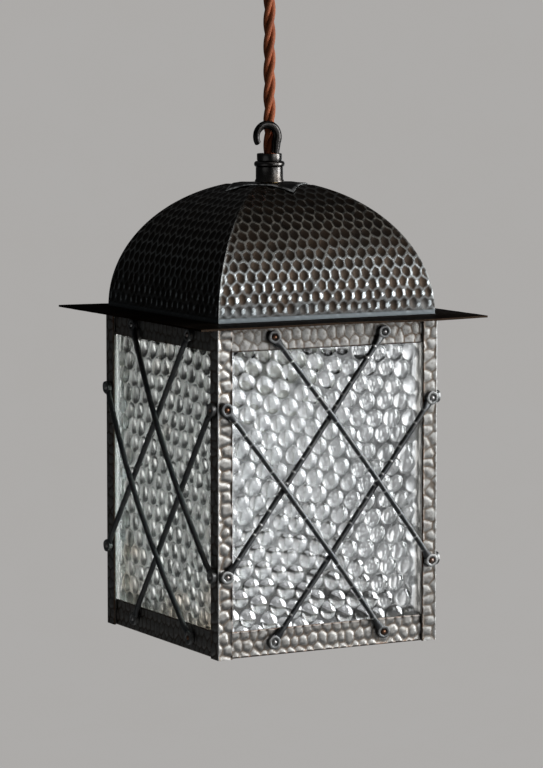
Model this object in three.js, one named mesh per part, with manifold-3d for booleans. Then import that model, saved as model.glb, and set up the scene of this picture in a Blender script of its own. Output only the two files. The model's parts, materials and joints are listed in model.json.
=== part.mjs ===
// Pendant lantern with a hammered sheet-metal body, a domed roof, riveted lattice guards,
// four textured panes, a lampholder with its bulb, and a flex that hangs from a ceiling rose.
// Millimetres, +Z up. The origin is the middle of the ceiling plate's upper face.

import * as THREE from 'three';
import { mergeVertices } from 'three/addons/utils/BufferGeometryUtils.js';
import Module from 'manifold-3d';

const wasm = await Module();
wasm.setup();

// Clearances
const FIT = 0.3; // between pieces that lap or slide
const SEAT = 0.1; // under a piece that bears on another
const MITRE_GAP = 0.22; // taken off each end of a mitred piece
const MERGE_DISTANCE = 1e-4; // vertices closer than this are one

// Square body
const BODY_SIDE = 130;
const BODY_HEIGHT = 172;
const POST_FLANGE = 8.5;
const POST_THICKNESS = 1.2;
const RAIL_HEIGHT = 14;
const RAIL_THICKNESS = 1;
const RAIL_LIP = 8; // height of the lip behind the glass
const GLASS_THICKNESS = 3.5;
const GLASS_CORNER_GAP = 0.5; // between two panes at a corner

// Lattice guards
const ROD_DIAMETER = 3.2;
const EYE_DIAMETER = 7;
const RIVET_HEAD_DIAMETER = 3.4;
const RIVET_HEAD_HEIGHT = 0.9;
const RIVET_SHANK_DIAMETER = 2.2;
const RIVET_HOLE_GAP = 0.4; // round the shank
const RIVET_SHORT = 0.2; // the shank stops this far short of the sheet's inner face

// Roof
const BRIM_OVERHANG = 19.3; // beyond the body, all round
const BRIM_THICKNESS = 1;
const ROOF_INSET = 1; // the dome's foot lies this far inside the body's faces
const ROOF_RISE = 69;
const ROOF_THICKNESS = 1;
const CROWN_SIDE = 34; // flat top of the dome
const CAP_DIAGONAL = 53.2;
const CAP_THICKNESS = 1;
const CAP_EASE = 2; // the cap's corners bend down this far outside the flat crown

// Flex
const FLEX_DIAMETER = 6.5;
const FLEX_GAP = 0.55; // round the flex in a bore
const FLEX_DROP = 94; // free length from the cord grip to the collar
const SWING_DEG = 15; // each way

// Neck and hook
const NIPPLE_WALL = 1.2;
const NECK_WALL = 1.95;
const NECK_HEIGHT = 7.7;
const BEAD_HEIGHT = 3.1;
const BEAD_PROUD = 0.9;
const COLLAR_WALL = 2.85;
const COLLAR_HEIGHT = 4;
const SPIGOT_LENGTH = 4; // of the collar, inside the neck
const NIPPLE_IN_NECK = 4.5;
const NUT_THICKNESS = 4;
const NUT_WALL = 2.2;
const HOOK_RADIUS = 6.3; // middle of the bar
const HOOK_RISE = 9; // centre of the loop above the collar
const HOOK_OFFSET = 4.4; // centre of the loop left of the axis
const HOOK_FOOT_X = 0.7;
const HOOK_START_DEG = -25;
const HOOK_TIP_DEG = 210;
const HOOK_DEPTH = 3.2;
const HOOK_FOOT_WIDTH = 4.2;
const HOOK_BELLY_WIDTH = 5.3;
const HOOK_TIP_WIDTH = 3.4;
const HOOK_FLEX_GAP = 0.4;

// Lampholder and bulb
const HOLDER_DROP = 12; // its top below the crown
const HOLDER_WALL = 1.2;
const HOLDER_CAP_HEIGHT = 15;
const HOLDER_BOSS_HEIGHT = 5;
const HOLDER_BOSS_WALL = 1.6;
const HOLDER_BAND = 4; // straight lower edge of the holder's cap
const NIPPLE_IN_HOLDER = 4;
const SKIRT_HEIGHT = 27;
const SKIRT_RIM = 1.2;
const INSERT_WALL = 2.5;
const INSERT_TOP = 6; // thickness of the insert's top
const INSERT_SHORT = 1.5; // the insert ends this far above the skirt's edge
const CONTACT_RADIUS = 4;
const CONTACT_HEIGHT = 2.5;
const BULB_CAP_DIAMETER = 26;
const BULB_CAP_LENGTH = 25;
const BULB_CAP_GAP = 0.5;
const BULB_TIP_RADIUS = 4;
const BULB_SHOULDER = 4.5; // height of the insulated cone at the tip
const BULB_DIAMETER = 45;
const BULB_NECK_DIAMETER = 24;
const BULB_NECK_LENGTH = 5.5;
const BULB_WALL = 1;

// Ceiling fitting
const PLATE_THICKNESS = 3;
const PLATE_GAP = 2.8; // between the plate's rim and the cover
const PLATE_HOLE_RADIUS = 2.5;
const PLATE_HOLE_SPACING = 44;
const LUG_WIDTH = 9;
const LUG_THICKNESS = 3;
const LUG_DROP = 10;
const COVER_RADIUS = 40;
const COVER_WALL = 1.2;
const COVER_BAND = 14; // straight part of the side
const COVER_DOME = 20; // height of the rounded part
const COVER_FLAT_RADIUS = 15;
const SCREW_HEAD_RADIUS = 3.2;
const SCREW_HEAD_HEIGHT = 2;
const SCREW_RADIUS = 1.6;
const GRIP_STEM_WALL = 2.2;
const GRIP_STEM_LENGTH = 10; // above the cover's lower face
const GRIP_FLANGE_WALL = 5.5;
const GRIP_FLANGE_HEIGHT = 2.5;
const GRIP_MOUTH_LENGTH = 8;
const GRIP_MOUTH_LIP = 1.6; // wall at the flared end
const GRIP_FLARE_SPARE_DEG = 2; // wider than the swing
const BLOCK_SIZE = [26, 13, 13];

// Smoothness
const ROUND_SIDES = 20;
const CEILING_SIDES = 28;
const ROD_SIDES = 8;
const ROD_STEPS = 8;
const RIVET_SIDES = 8;
const EYE_SIDES = 12;
const FLEX_SIDES = 10;
const FLEX_STEP = 2.5; // in diameters
const DOME_STEPS = 9;
const CAP_STEPS = 10;
const HOOK_STEPS = 14;
const HOOK_SIDES = 8;
const BULB_STEPS = 8;

// Materials
const metal = (color, roughness) => new THREE.MeshStandardMaterial({ color, roughness, metalness: 1 });
const plain = (color, roughness) => new THREE.MeshStandardMaterial({ color, roughness, metalness: 0 });
const pewter = metal(0x6d6a68, 0.45);
const roofMetal = metal(0x4f4641, 0.5);
const blackIron = metal(0x24211f, 0.6);
const brass = metal(0xa98a4a, 0.4);
const bronze = metal(0x3a302a, 0.5);
const fabric = plain(0x6b4028, 0.9);
const ceramic = plain(0xe6e1d6, 0.35);
const blockPlastic = plain(0xd8d4c8, 0.5);
const paneGlass = new THREE.MeshStandardMaterial({
  color: 0xcfd6d4, roughness: 0.1, metalness: 0, transparent: true, opacity: 0.4,
});
const bulbGlass = new THREE.MeshStandardMaterial({
  color: 0xf4efe2, roughness: 0.2, metalness: 0, transparent: true, opacity: 0.6,
});

// Sizes that follow from the driving dimensions
const bodyHalf = BODY_SIDE / 2;
const railFace = bodyHalf - POST_THICKNESS - FIT;
const glassFace = railFace - RAIL_THICKNESS - FIT;
const glassBack = glassFace - GLASS_THICKNESS;
const lipFace = glassBack - FIT;
const lipBack = lipFace - RAIL_THICKNESS;
const flexRadius = FLEX_DIAMETER / 2;
const flexBore = flexRadius + FLEX_GAP;
const nippleRadius = flexBore + NIPPLE_WALL;
const nippleBore = nippleRadius + FIT;
const neckRadius = nippleBore + NECK_WALL;
const roofHalf = bodyHalf - ROOF_INSET;
const crownHalf = CROWN_SIDE / 2;
const bulbCapRadius = BULB_CAP_DIAMETER / 2;
const insertBore = bulbCapRadius + BULB_CAP_GAP;
const insertRadius = insertBore + INSERT_WALL;
const holderBore = insertRadius + FIT;
const holderRadius = holderBore + HOLDER_WALL;
const plateRadius = COVER_RADIUS - COVER_WALL - PLATE_GAP;

// Height of the dome's outer face over its base, at a distance from the middle of the lantern
function domeHeight(distance) {
  const across = Math.max(distance, crownHalf) / roofHalf;
  return ROOF_RISE * Math.sqrt(1 - across * across);
}

// Levels in the lantern, from the underside of the bottom rails
const brimTop = BODY_HEIGHT + BRIM_THICKNESS;
const crownTop = brimTop + domeHeight(0);
const crownUnder = crownTop - ROOF_THICKNESS;
const capUnder = crownTop + FIT;
const neckBase = capUnder + CAP_THICKNESS + SEAT;
const neckTop = neckBase + NECK_HEIGHT + BEAD_HEIGHT;
const collarBase = neckTop + SEAT;
const collarTop = collarBase + COLLAR_HEIGHT;
const holderTop = crownUnder - HOLDER_DROP;
const skirtTop = holderTop - HOLDER_CAP_HEIGHT - SEAT;
const skirtBottom = skirtTop - SKIRT_HEIGHT;
const contactTop = skirtTop - INSERT_TOP - SEAT;
const bulbTop = contactTop - CONTACT_HEIGHT - SEAT;
const bulbCapBottom = bulbTop - BULB_CAP_LENGTH;

// Levels in the ceiling fitting, from the ceiling
const plateUnder = -PLATE_THICKNESS;
const coverUnder = -SEAT - COVER_BAND - COVER_DOME;
const gripFlangeTop = coverUnder - SEAT;
const swingPivot = gripFlangeTop - GRIP_FLANGE_HEIGHT;
const blockUnder = plateUnder - SEAT - BLOCK_SIZE[2];
const lanternBase = swingPivot - FLEX_DROP - collarTop;

// Geometry with merged vertices, no slivers and its faces turned out
function tidy(geometry) {
  const bare = new THREE.BufferGeometry();
  bare.setAttribute('position', geometry.getAttribute('position'));
  bare.setIndex(geometry.getIndex());
  const merged = mergeVertices(bare, MERGE_DISTANCE);
  const corners = merged.getIndex().array;
  const point = merged.getAttribute('position');
  const [a, b, c] = [new THREE.Vector3(), new THREE.Vector3(), new THREE.Vector3()];
  const triangles = [];
  let volume = 0;
  for (let i = 0; i < corners.length; i += 3) {
    const [p, q, r] = corners.slice(i, i + 3);
    if (p === q || q === r || r === p) continue;
    triangles.push([p, q, r]);
    a.fromBufferAttribute(point, p);
    b.fromBufferAttribute(point, q);
    c.fromBufferAttribute(point, r);
    volume += a.dot(b.cross(c));
  }
  merged.setIndex(triangles.flatMap(([p, q, r]) => (volume > 0 ? [p, q, r] : [p, r, q])));
  return merged;
}

// Joins and cuts
function solidOf(geometry) {
  const closed = tidy(geometry);
  return new wasm.Manifold(new wasm.Mesh({
    numProp: 3,
    vertProperties: new Float32Array(closed.getAttribute('position').array),
    triVerts: new Uint32Array(closed.getIndex().array),
  }));
}

function geometryOf(solid) {
  const { vertProperties, triVerts } = solid.getMesh();
  const geometry = new THREE.BufferGeometry();
  geometry.setAttribute('position', new THREE.BufferAttribute(vertProperties, 3));
  geometry.setIndex(new THREE.BufferAttribute(triVerts, 1));
  return geometry;
}

function join(first, ...others) {
  return geometryOf(others.reduce((whole, other) => whole.add(solidOf(other)), solidOf(first)));
}

function cut(body, ...tools) {
  return geometryOf(tools.reduce((left, tool) => left.subtract(solidOf(tool)), solidOf(body)));
}

// Basic shapes
function piece(name, geometry, material) {
  const shape = tidy(geometry);
  shape.computeVertexNormals();
  const mesh = new THREE.Mesh(shape, material);
  mesh.name = name;
  return mesh;
}

function turned(profile, sides = ROUND_SIDES) {
  const points = profile.map(([radius, z]) => new THREE.Vector2(radius, z));
  return new THREE.LatheGeometry(points, sides).rotateX(Math.PI / 2);
}

function turnedRing(profile, sides = ROUND_SIDES) {
  return turned([...profile, profile[0]], sides);
}

function tube(inner, outer, low, high) {
  return turnedRing([[inner, low], [outer, low], [outer, high], [inner, high]]);
}

function roundBar(radius, low, high, sides = ROUND_SIDES) {
  return turned([[0, low], [radius, low], [radius, high], [0, high]], sides);
}

function polygon(radius, sides) {
  const shape = new THREE.Shape();
  for (let i = 0; i < sides; i += 1) {
    const angle = (2 * Math.PI * i) / sides;
    const [x, y] = [radius * Math.cos(angle), radius * Math.sin(angle)];
    if (i === 0) shape.moveTo(x, y);
    else shape.lineTo(x, y);
  }
  shape.closePath();
  return shape;
}

function extruded(shape, low, height) {
  return new THREE.ExtrudeGeometry(shape, { depth: height, bevelEnabled: false }).translate(0, 0, low);
}

function rectangle(width, height) {
  const [x, y] = [width / 2, height / 2];
  return new THREE.Shape([[-x, -y], [x, -y], [x, y], [-x, y]].map(([u, v]) => new THREE.Vector2(u, v)));
}

function swept(curve, radius, sides, steps) {
  return new THREE.ExtrudeGeometry(polygon(radius, sides), { steps, extrudePath: curve });
}

function hexNut(bore, wall, low, height) {
  const shape = polygon((bore + wall) / Math.cos(Math.PI / 6), 6);
  shape.holes.push(polygon(bore, ROUND_SIDES));
  return extruded(shape, low, height);
}

// A sheet or channel along one face, mitred at 45 degrees to its neighbours. The profile's points
// are distances from the middle of the lantern and heights.
function mitred(profile) {
  const count = profile.length;
  const positions = [-1, 1].flatMap((side) => (
    profile.flatMap(([distance, z]) => [side * (distance - MITRE_GAP), -distance, z])
  ));
  const caps = THREE.ShapeUtils.triangulateShape(profile.map(([u, v]) => new THREE.Vector2(u, v)), []);
  const clockwise = THREE.ShapeUtils.isClockWise(profile.map(([u, v]) => new THREE.Vector2(u, v)));
  const index = [];
  for (const [p, q, r] of caps) {
    index.push(p, q, r, count + p, count + r, count + q);
  }
  for (let i = 0; i < count; i += 1) {
    const [p, q] = clockwise ? [(i + 1) % count, i] : [i, (i + 1) % count];
    index.push(p, count + p, q, q, count + p, count + q);
  }
  const geometry = new THREE.BufferGeometry();
  geometry.setAttribute('position', new THREE.Float32BufferAttribute(positions, 3));
  geometry.setIndex(index);
  return geometry;
}

// The four faces, each turned from the front
const FACES = ['front', 'right', 'back', 'left'];
const CORNERS = ['front_left', 'front_right', 'back_right', 'back_left'];
const quarterTurn = (geometry, quarter) => geometry.rotateZ((quarter * Math.PI) / 2);

// Where rivets go on a face
const railRivetX = BODY_SIDE / 4;
const railRivetZ = RAIL_HEIGHT / 2;
const postRivetX = bodyHalf - POST_FLANGE / 2;
const postRivetZ = BODY_HEIGHT / 4;
const rivetHoleRadius = RIVET_SHANK_DIAMETER / 2 + RIVET_HOLE_GAP;

function rivetHole(x, z, face, thickness) {
  const length = thickness + 2 * FIT;
  const hole = new THREE.CylinderGeometry(rivetHoleRadius, rivetHoleRadius, length, RIVET_SIDES);
  return hole.translate(x, -face + thickness / 2, z);
}

function cornerPost() {
  const [outer, flange, inner] = [-bodyHalf, -bodyHalf + POST_FLANGE, -bodyHalf + POST_THICKNESS];
  const outline = [
    [outer, outer], [flange, outer], [flange, inner], [inner, inner], [inner, flange], [outer, flange],
  ];
  const shape = new THREE.Shape(outline.map(([x, y]) => new THREE.Vector2(x, y)));
  const holes = [postRivetZ, BODY_HEIGHT - postRivetZ].flatMap((z) => [
    rivetHole(-postRivetX, z, bodyHalf, POST_THICKNESS),
    rivetHole(postRivetX, z, bodyHalf, POST_THICKNESS).rotateZ(-Math.PI / 2),
  ]);
  return cut(extruded(shape, 0, BODY_HEIGHT), ...holes);
}

// A folded channel that holds an edge of the glass
function rail(flip) {
  const height = (z) => (flip ? BODY_HEIGHT - z : z);
  const inside = railFace - RAIL_THICKNESS;
  const profile = [
    [railFace, 0], [railFace, RAIL_HEIGHT], [inside, RAIL_HEIGHT], [inside, RAIL_THICKNESS],
    [lipFace, RAIL_THICKNESS], [lipFace, RAIL_LIP], [lipBack, RAIL_LIP], [lipBack, 0],
  ].map(([distance, z]) => [distance, height(z)]);
  const holes = [-railRivetX, railRivetX].map((x) => (
    rivetHole(x, height(railRivetZ), railFace, RAIL_THICKNESS)
  ));
  return cut(mitred(profile), ...holes);
}

function pane() {
  const width = 2 * (glassBack - GLASS_CORNER_GAP);
  const low = RAIL_THICKNESS + SEAT;
  const height = BODY_HEIGHT - RAIL_THICKNESS - FIT - low;
  const box = new THREE.BoxGeometry(width, GLASS_THICKNESS, height);
  return box.translate(0, -(glassFace + glassBack) / 2, low + height / 2);
}

// Lattice rods, each with an eye and a rivet at both ends
function rivetAndEye({ x, z, face, thickness }) {
  const eyeRadius = EYE_DIAMETER / 2;
  const outside = -face - FIT - ROD_DIAMETER;
  const tail = -face + thickness - RIVET_SHORT;
  const headRadius = RIVET_HEAD_DIAMETER / 2;
  const shankRadius = RIVET_SHANK_DIAMETER / 2;
  const head = [
    [0, outside - RIVET_HEAD_HEIGHT],
    [headRadius * 0.7, outside - RIVET_HEAD_HEIGHT * 0.7],
    [headRadius, outside],
    [headRadius, outside + ROD_DIAMETER / 2],
    [shankRadius, outside + ROD_DIAMETER / 2],
    [shankRadius, tail],
    [0, tail],
  ].map(([radius, y]) => new THREE.Vector2(radius, y));
  const eye = new THREE.CylinderGeometry(eyeRadius, eyeRadius, ROD_DIAMETER, EYE_SIDES);
  const rivet = new THREE.LatheGeometry(head, RIVET_SIDES);
  return [eye.translate(x, outside + ROD_DIAMETER / 2, z), rivet.translate(x, 0, z)];
}

function latticeRod(from, to, bow) {
  const middle = ({ x, z, face }) => new THREE.Vector3(x, -face - FIT - ROD_DIAMETER / 2, z);
  const points = Array.from({ length: ROD_STEPS + 1 }, (_, i) => {
    const share = i / ROD_STEPS;
    const point = middle(from).lerp(middle(to), share);
    point.y -= bow * Math.sin(Math.PI * share);
    return point;
  });
  const bar = swept(new THREE.CatmullRomCurve3(points), ROD_DIAMETER / 2, ROD_SIDES, ROD_STEPS);
  return join(bar, ...rivetAndEye(from), ...rivetAndEye(to));
}

// One rod from a rail to the far post and one from a post to the far rail, on each diagonal. The two
// on one diagonal bow out over the other two where they cross.
function latticeRods() {
  const onRail = (side, z) => ({ x: side * railRivetX, z, face: railFace, thickness: RAIL_THICKNESS });
  const onPost = (side, z) => ({ x: side * postRivetX, z, face: bodyHalf, thickness: POST_THICKNESS });
  const top = BODY_HEIGHT - railRivetZ;
  const upper = BODY_HEIGHT - postRivetZ;
  const middleCross = railRivetX / (railRivetX + postRivetX);
  const sideCross = (top - BODY_HEIGHT / 2) / (top - postRivetZ);
  const rise = Math.min(Math.sin(Math.PI * middleCross), Math.sin(Math.PI * sideCross));
  const bow = (ROD_DIAMETER + FIT) / rise;
  return [
    latticeRod(onRail(-1, top), onPost(1, postRivetZ), bow),
    latticeRod(onPost(-1, upper), onRail(1, railRivetZ), bow),
    latticeRod(onRail(1, top), onPost(-1, postRivetZ), 0),
    latticeRod(onPost(1, upper), onRail(-1, railRivetZ), 0),
  ];
}

// Roof
function brim() {
  const side = BODY_SIDE + 2 * BRIM_OVERHANG;
  const shape = rectangle(side, side);
  shape.holes.push(rectangle(2 * lipBack, 2 * lipBack));
  return extruded(shape, BODY_HEIGHT, BRIM_THICKNESS);
}

// Quarter ellipse from its base to a flat top, as distances and heights
function domeArc(half, rise, top) {
  const last = Math.asin(top / rise);
  return Array.from({ length: DOME_STEPS + 1 }, (_, i) => {
    const angle = (last * i) / DOME_STEPS;
    return [half * Math.cos(angle), rise * Math.sin(angle)];
  });
}

function roofPanel() {
  const top = domeHeight(0);
  const outer = domeArc(roofHalf, ROOF_RISE, top);
  const inner = domeArc(roofHalf - ROOF_THICKNESS, ROOF_RISE - ROOF_THICKNESS, top - ROOF_THICKNESS);
  const crown = [[nippleBore, top], [nippleBore, top - ROOF_THICKNESS]];
  return mitred([...outer, ...crown, ...inner.reverse()]).translate(0, 0, brimTop);
}

function capPlate() {
  const side = CAP_DIAGONAL / Math.SQRT2;
  const plate = new THREE.BoxGeometry(side, side, CAP_THICKNESS, CAP_STEPS, CAP_STEPS, 1);
  plate.rotateZ(Math.PI / 4);
  const point = plate.getAttribute('position');
  for (let i = 0; i < point.count; i += 1) {
    const distance = Math.max(Math.abs(point.getX(i)), Math.abs(point.getY(i))) - CAP_EASE;
    point.setZ(i, point.getZ(i) + brimTop + domeHeight(distance) + FIT + CAP_THICKNESS / 2);
  }
  return cut(plate, roundBar(nippleBore, crownTop, neckBase + CAP_THICKNESS));
}

// Neck
function neckTube() {
  const bead = neckRadius + BEAD_PROUD;
  const low = neckBase + NECK_HEIGHT;
  return turnedRing([
    [nippleBore, neckBase], [neckRadius, neckBase], [neckRadius, low],
    [bead - BEAD_PROUD * 0.3, low + BEAD_HEIGHT * 0.15], [bead, low + BEAD_HEIGHT / 2],
    [bead - BEAD_PROUD * 0.3, low + BEAD_HEIGHT * 0.85], [neckRadius, neckTop], [nippleBore, neckTop],
  ]);
}

function hookCollar() {
  const spigot = nippleBore - FIT;
  const outer = flexBore + COLLAR_WALL;
  return turnedRing([
    [flexBore, collarBase - SPIGOT_LENGTH], [spigot, collarBase - SPIGOT_LENGTH], [spigot, collarBase],
    [outer, collarBase], [outer, collarTop], [flexBore, collarTop],
  ]);
}

function nipple() {
  return tube(flexBore, nippleRadius, holderTop - NIPPLE_IN_HOLDER, neckBase + NIPPLE_IN_NECK);
}

// The hook's middle line, in its own upright plane: a short stem and then most of a circle
function hookLine() {
  const start = THREE.MathUtils.degToRad(HOOK_START_DEG);
  const tip = THREE.MathUtils.degToRad(HOOK_TIP_DEG);
  const foot = collarTop + SEAT;
  const points = [{ x: HOOK_FOOT_X, z: foot, turn: Math.PI / 2, width: HOOK_FOOT_WIDTH }];
  for (let i = 0; i <= HOOK_STEPS; i += 1) {
    const share = i / HOOK_STEPS;
    const angle = start + (tip - start) * share;
    points.push({
      x: -HOOK_OFFSET + HOOK_RADIUS * Math.cos(angle),
      z: collarTop + HOOK_RISE + HOOK_RADIUS * Math.sin(angle),
      turn: angle + Math.PI / 2,
      width: HOOK_BELLY_WIDTH + (HOOK_TIP_WIDTH - HOOK_BELLY_WIDTH) * share,
    });
  }
  return points;
}

function hangingHook() {
  const y = -(flexRadius + HOOK_FLEX_GAP + HOOK_DEPTH / 2);
  const line = hookLine();
  const last = line.length - 1;
  const positions = [];
  for (const { x, z, turn, width } of line) {
    for (let side = 0; side < HOOK_SIDES; side += 1) {
      const angle = (2 * Math.PI * side) / HOOK_SIDES;
      const across = (width / 2) * Math.cos(angle);
      positions.push(x + across * Math.sin(turn), y + (HOOK_DEPTH / 2) * Math.sin(angle));
      positions.push(z - across * Math.cos(turn));
    }
  }
  const { x, z, turn, width } = line[last];
  positions.push(x + (width / 3) * Math.cos(turn), y, z + (width / 3) * Math.sin(turn));
  positions.push(line[0].x, y, line[0].z);
  const tipPoint = line.length * HOOK_SIDES;
  const index = [];
  for (let side = 0; side < HOOK_SIDES; side += 1) {
    const next = (side + 1) % HOOK_SIDES;
    for (let ring = 0; ring < last; ring += 1) {
      const [low, high] = [ring * HOOK_SIDES, (ring + 1) * HOOK_SIDES];
      index.push(low + side, low + next, high + side, high + side, low + next, high + next);
    }
    index.push(last * HOOK_SIDES + side, last * HOOK_SIDES + next, tipPoint);
    index.push(next, side, tipPoint + 1);
  }
  const geometry = new THREE.BufferGeometry();
  geometry.setAttribute('position', new THREE.Float32BufferAttribute(positions, 3));
  geometry.setIndex(index);
  return geometry;
}

// A straight length of flex on the lantern's axis
function flexLength(low, high) {
  const steps = Math.max(1, Math.round((high - low) / (FLEX_STEP * FLEX_DIAMETER)));
  const line = new THREE.LineCurve3(new THREE.Vector3(0, 0, low), new THREE.Vector3(0, 0, high));
  return swept(line, flexRadius, FLEX_SIDES, steps);
}

// Lampholder
function holderCap() {
  const boss = nippleBore + HOLDER_BOSS_WALL;
  const [bossEnd, low] = [holderTop - HOLDER_BOSS_HEIGHT, holderTop - HOLDER_CAP_HEIGHT];
  return turnedRing([
    [nippleBore, holderTop], [boss, holderTop], [boss, bossEnd], [holderRadius, low + HOLDER_BAND],
    [holderRadius, low], [holderBore, low], [holderBore, low + HOLDER_BAND - HOLDER_WALL / 2],
    [boss - HOLDER_WALL / 2, bossEnd - HOLDER_WALL], [nippleBore, bossEnd - HOLDER_WALL],
  ]);
}

function holderSkirt() {
  const rim = holderRadius + SKIRT_RIM;
  return turnedRing([
    [holderBore, skirtTop], [holderRadius, skirtTop], [holderRadius, skirtBottom + 2 * SKIRT_RIM],
    [rim, skirtBottom + SKIRT_RIM], [holderRadius, skirtBottom], [holderBore, skirtBottom],
  ]);
}

function holderInsert() {
  const [low, ledge] = [skirtBottom + INSERT_SHORT, skirtTop - INSERT_TOP];
  return turned([
    [0, skirtTop], [insertRadius, skirtTop], [insertRadius, low], [insertBore, low],
    [insertBore, ledge], [0, ledge],
  ]);
}

// Bulb
function bulbCap() {
  const shoulder = bulbTop - BULB_SHOULDER;
  return turned([
    [0, bulbTop], [BULB_TIP_RADIUS, bulbTop], [BULB_TIP_RADIUS + 1, bulbTop - BULB_SHOULDER / 3],
    [bulbCapRadius, shoulder], [bulbCapRadius, bulbCapBottom], [0, bulbCapBottom],
  ]);
}

// A globe with a straight neck, open where it meets the cap
function bulbGlobe() {
  const top = bulbCapBottom - SEAT;
  const outerReach = Math.sqrt((BULB_DIAMETER / 2) ** 2 - (BULB_NECK_DIAMETER / 2) ** 2);
  const centre = top - BULB_NECK_LENGTH - outerReach;
  const side = (wall) => {
    const [radius, neck] = [BULB_DIAMETER / 2 - wall, BULB_NECK_DIAMETER / 2 - wall];
    const last = Math.acos(neck / radius);
    const arc = Array.from({ length: BULB_STEPS + 1 }, (_, i) => {
      const angle = -Math.PI / 2 + ((last + Math.PI / 2) * i) / BULB_STEPS;
      return [i === 0 ? 0 : radius * Math.cos(angle), centre + radius * Math.sin(angle)];
    });
    return [...arc, [neck, top]];
  };
  return turned([...side(0), ...side(BULB_WALL).reverse()]);
}

// Ceiling fitting
const lugFace = plateRadius - FIT;
const screwZ = plateUnder - LUG_DROP / 2;

function alongX(geometry, side) {
  return geometry.rotateY((side * Math.PI) / 2);
}

function ceilingPlate() {
  const disc = polygon(plateRadius, CEILING_SIDES);
  for (const side of [-1, 1]) {
    const hole = new THREE.Path();
    hole.absarc(0, (side * PLATE_HOLE_SPACING) / 2, PLATE_HOLE_RADIUS, 0, 2 * Math.PI, true);
    disc.holes.push(new THREE.Path(hole.getPoints(RIVET_SIDES / 2)));
  }
  const lugs = [-1, 1].map((side) => {
    const lug = new THREE.BoxGeometry(LUG_THICKNESS, LUG_WIDTH, LUG_DROP + PLATE_THICKNESS / 2);
    const x = side * (lugFace * Math.cos(Math.PI / CEILING_SIDES) - LUG_THICKNESS / 2);
    return lug.translate(x, 0, plateUnder - LUG_DROP / 2 + PLATE_THICKNESS / 4);
  });
  const holes = [-1, 1].map((side) => (
    alongX(roundBar(SCREW_RADIUS + FIT, plateRadius / 2, plateRadius), side).translate(0, 0, screwZ)
  ));
  return cut(join(extruded(disc, plateUnder, PLATE_THICKNESS), ...lugs), ...holes);
}

function ceilingCover() {
  const hole = flexBore + GRIP_STEM_WALL + FIT;
  const arc = (wall) => {
    const [half, rise] = [COVER_RADIUS - wall, COVER_DOME - wall];
    const last = Math.acos(COVER_FLAT_RADIUS / half);
    return Array.from({ length: DOME_STEPS }, (_, i) => {
      const angle = (last * i) / (DOME_STEPS - 1);
      const drop = (rise * Math.sin(angle)) / Math.sin(last);
      return [half * Math.cos(angle), -SEAT - COVER_BAND - drop];
    });
  };
  const profile = [
    [COVER_RADIUS, -SEAT], ...arc(0), [hole, coverUnder],
    [hole, coverUnder + COVER_WALL], ...arc(COVER_WALL).reverse(), [COVER_RADIUS - COVER_WALL, -SEAT],
  ];
  const holes = [-1, 1].map((side) => (
    alongX(roundBar(SCREW_RADIUS + FIT, COVER_RADIUS / 2, 2 * COVER_RADIUS), side).translate(0, 0, screwZ)
  ));
  return cut(turnedRing(profile, CEILING_SIDES), ...holes);
}

function coverScrew(side) {
  const seat = COVER_RADIUS + SEAT;
  const shank = turned([
    [0, lugFace - LUG_THICKNESS], [SCREW_RADIUS, lugFace - LUG_THICKNESS], [SCREW_RADIUS, seat],
    [SCREW_HEAD_RADIUS, seat], [SCREW_HEAD_RADIUS, seat + SCREW_HEAD_HEIGHT / 2],
    [SCREW_HEAD_RADIUS / 2, seat + SCREW_HEAD_HEIGHT], [0, seat + SCREW_HEAD_HEIGHT],
  ]);
  return alongX(shank, side).translate(0, 0, screwZ);
}

// The grip's bore flares below the pivot, so that the flex can swing
function cordGrip() {
  const flare = Math.tan(THREE.MathUtils.degToRad(SWING_DEG + GRIP_FLARE_SPARE_DEG));
  const mouth = flexBore + GRIP_MOUTH_LENGTH * flare;
  const stem = flexBore + GRIP_STEM_WALL;
  const flange = flexBore + GRIP_FLANGE_WALL;
  const [low, high] = [swingPivot - GRIP_MOUTH_LENGTH, coverUnder + GRIP_STEM_LENGTH];
  return turnedRing([
    [flexBore, high], [stem, high], [stem, gripFlangeTop], [flange, gripFlangeTop],
    [flange, swingPivot], [mouth + GRIP_MOUTH_LIP, low], [mouth, low], [flexBore, swingPivot],
  ]);
}

function terminalBlock() {
  return new THREE.BoxGeometry(...BLOCK_SIZE).translate(0, 0, blockUnder + BLOCK_SIZE[2] / 2);
}

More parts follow.
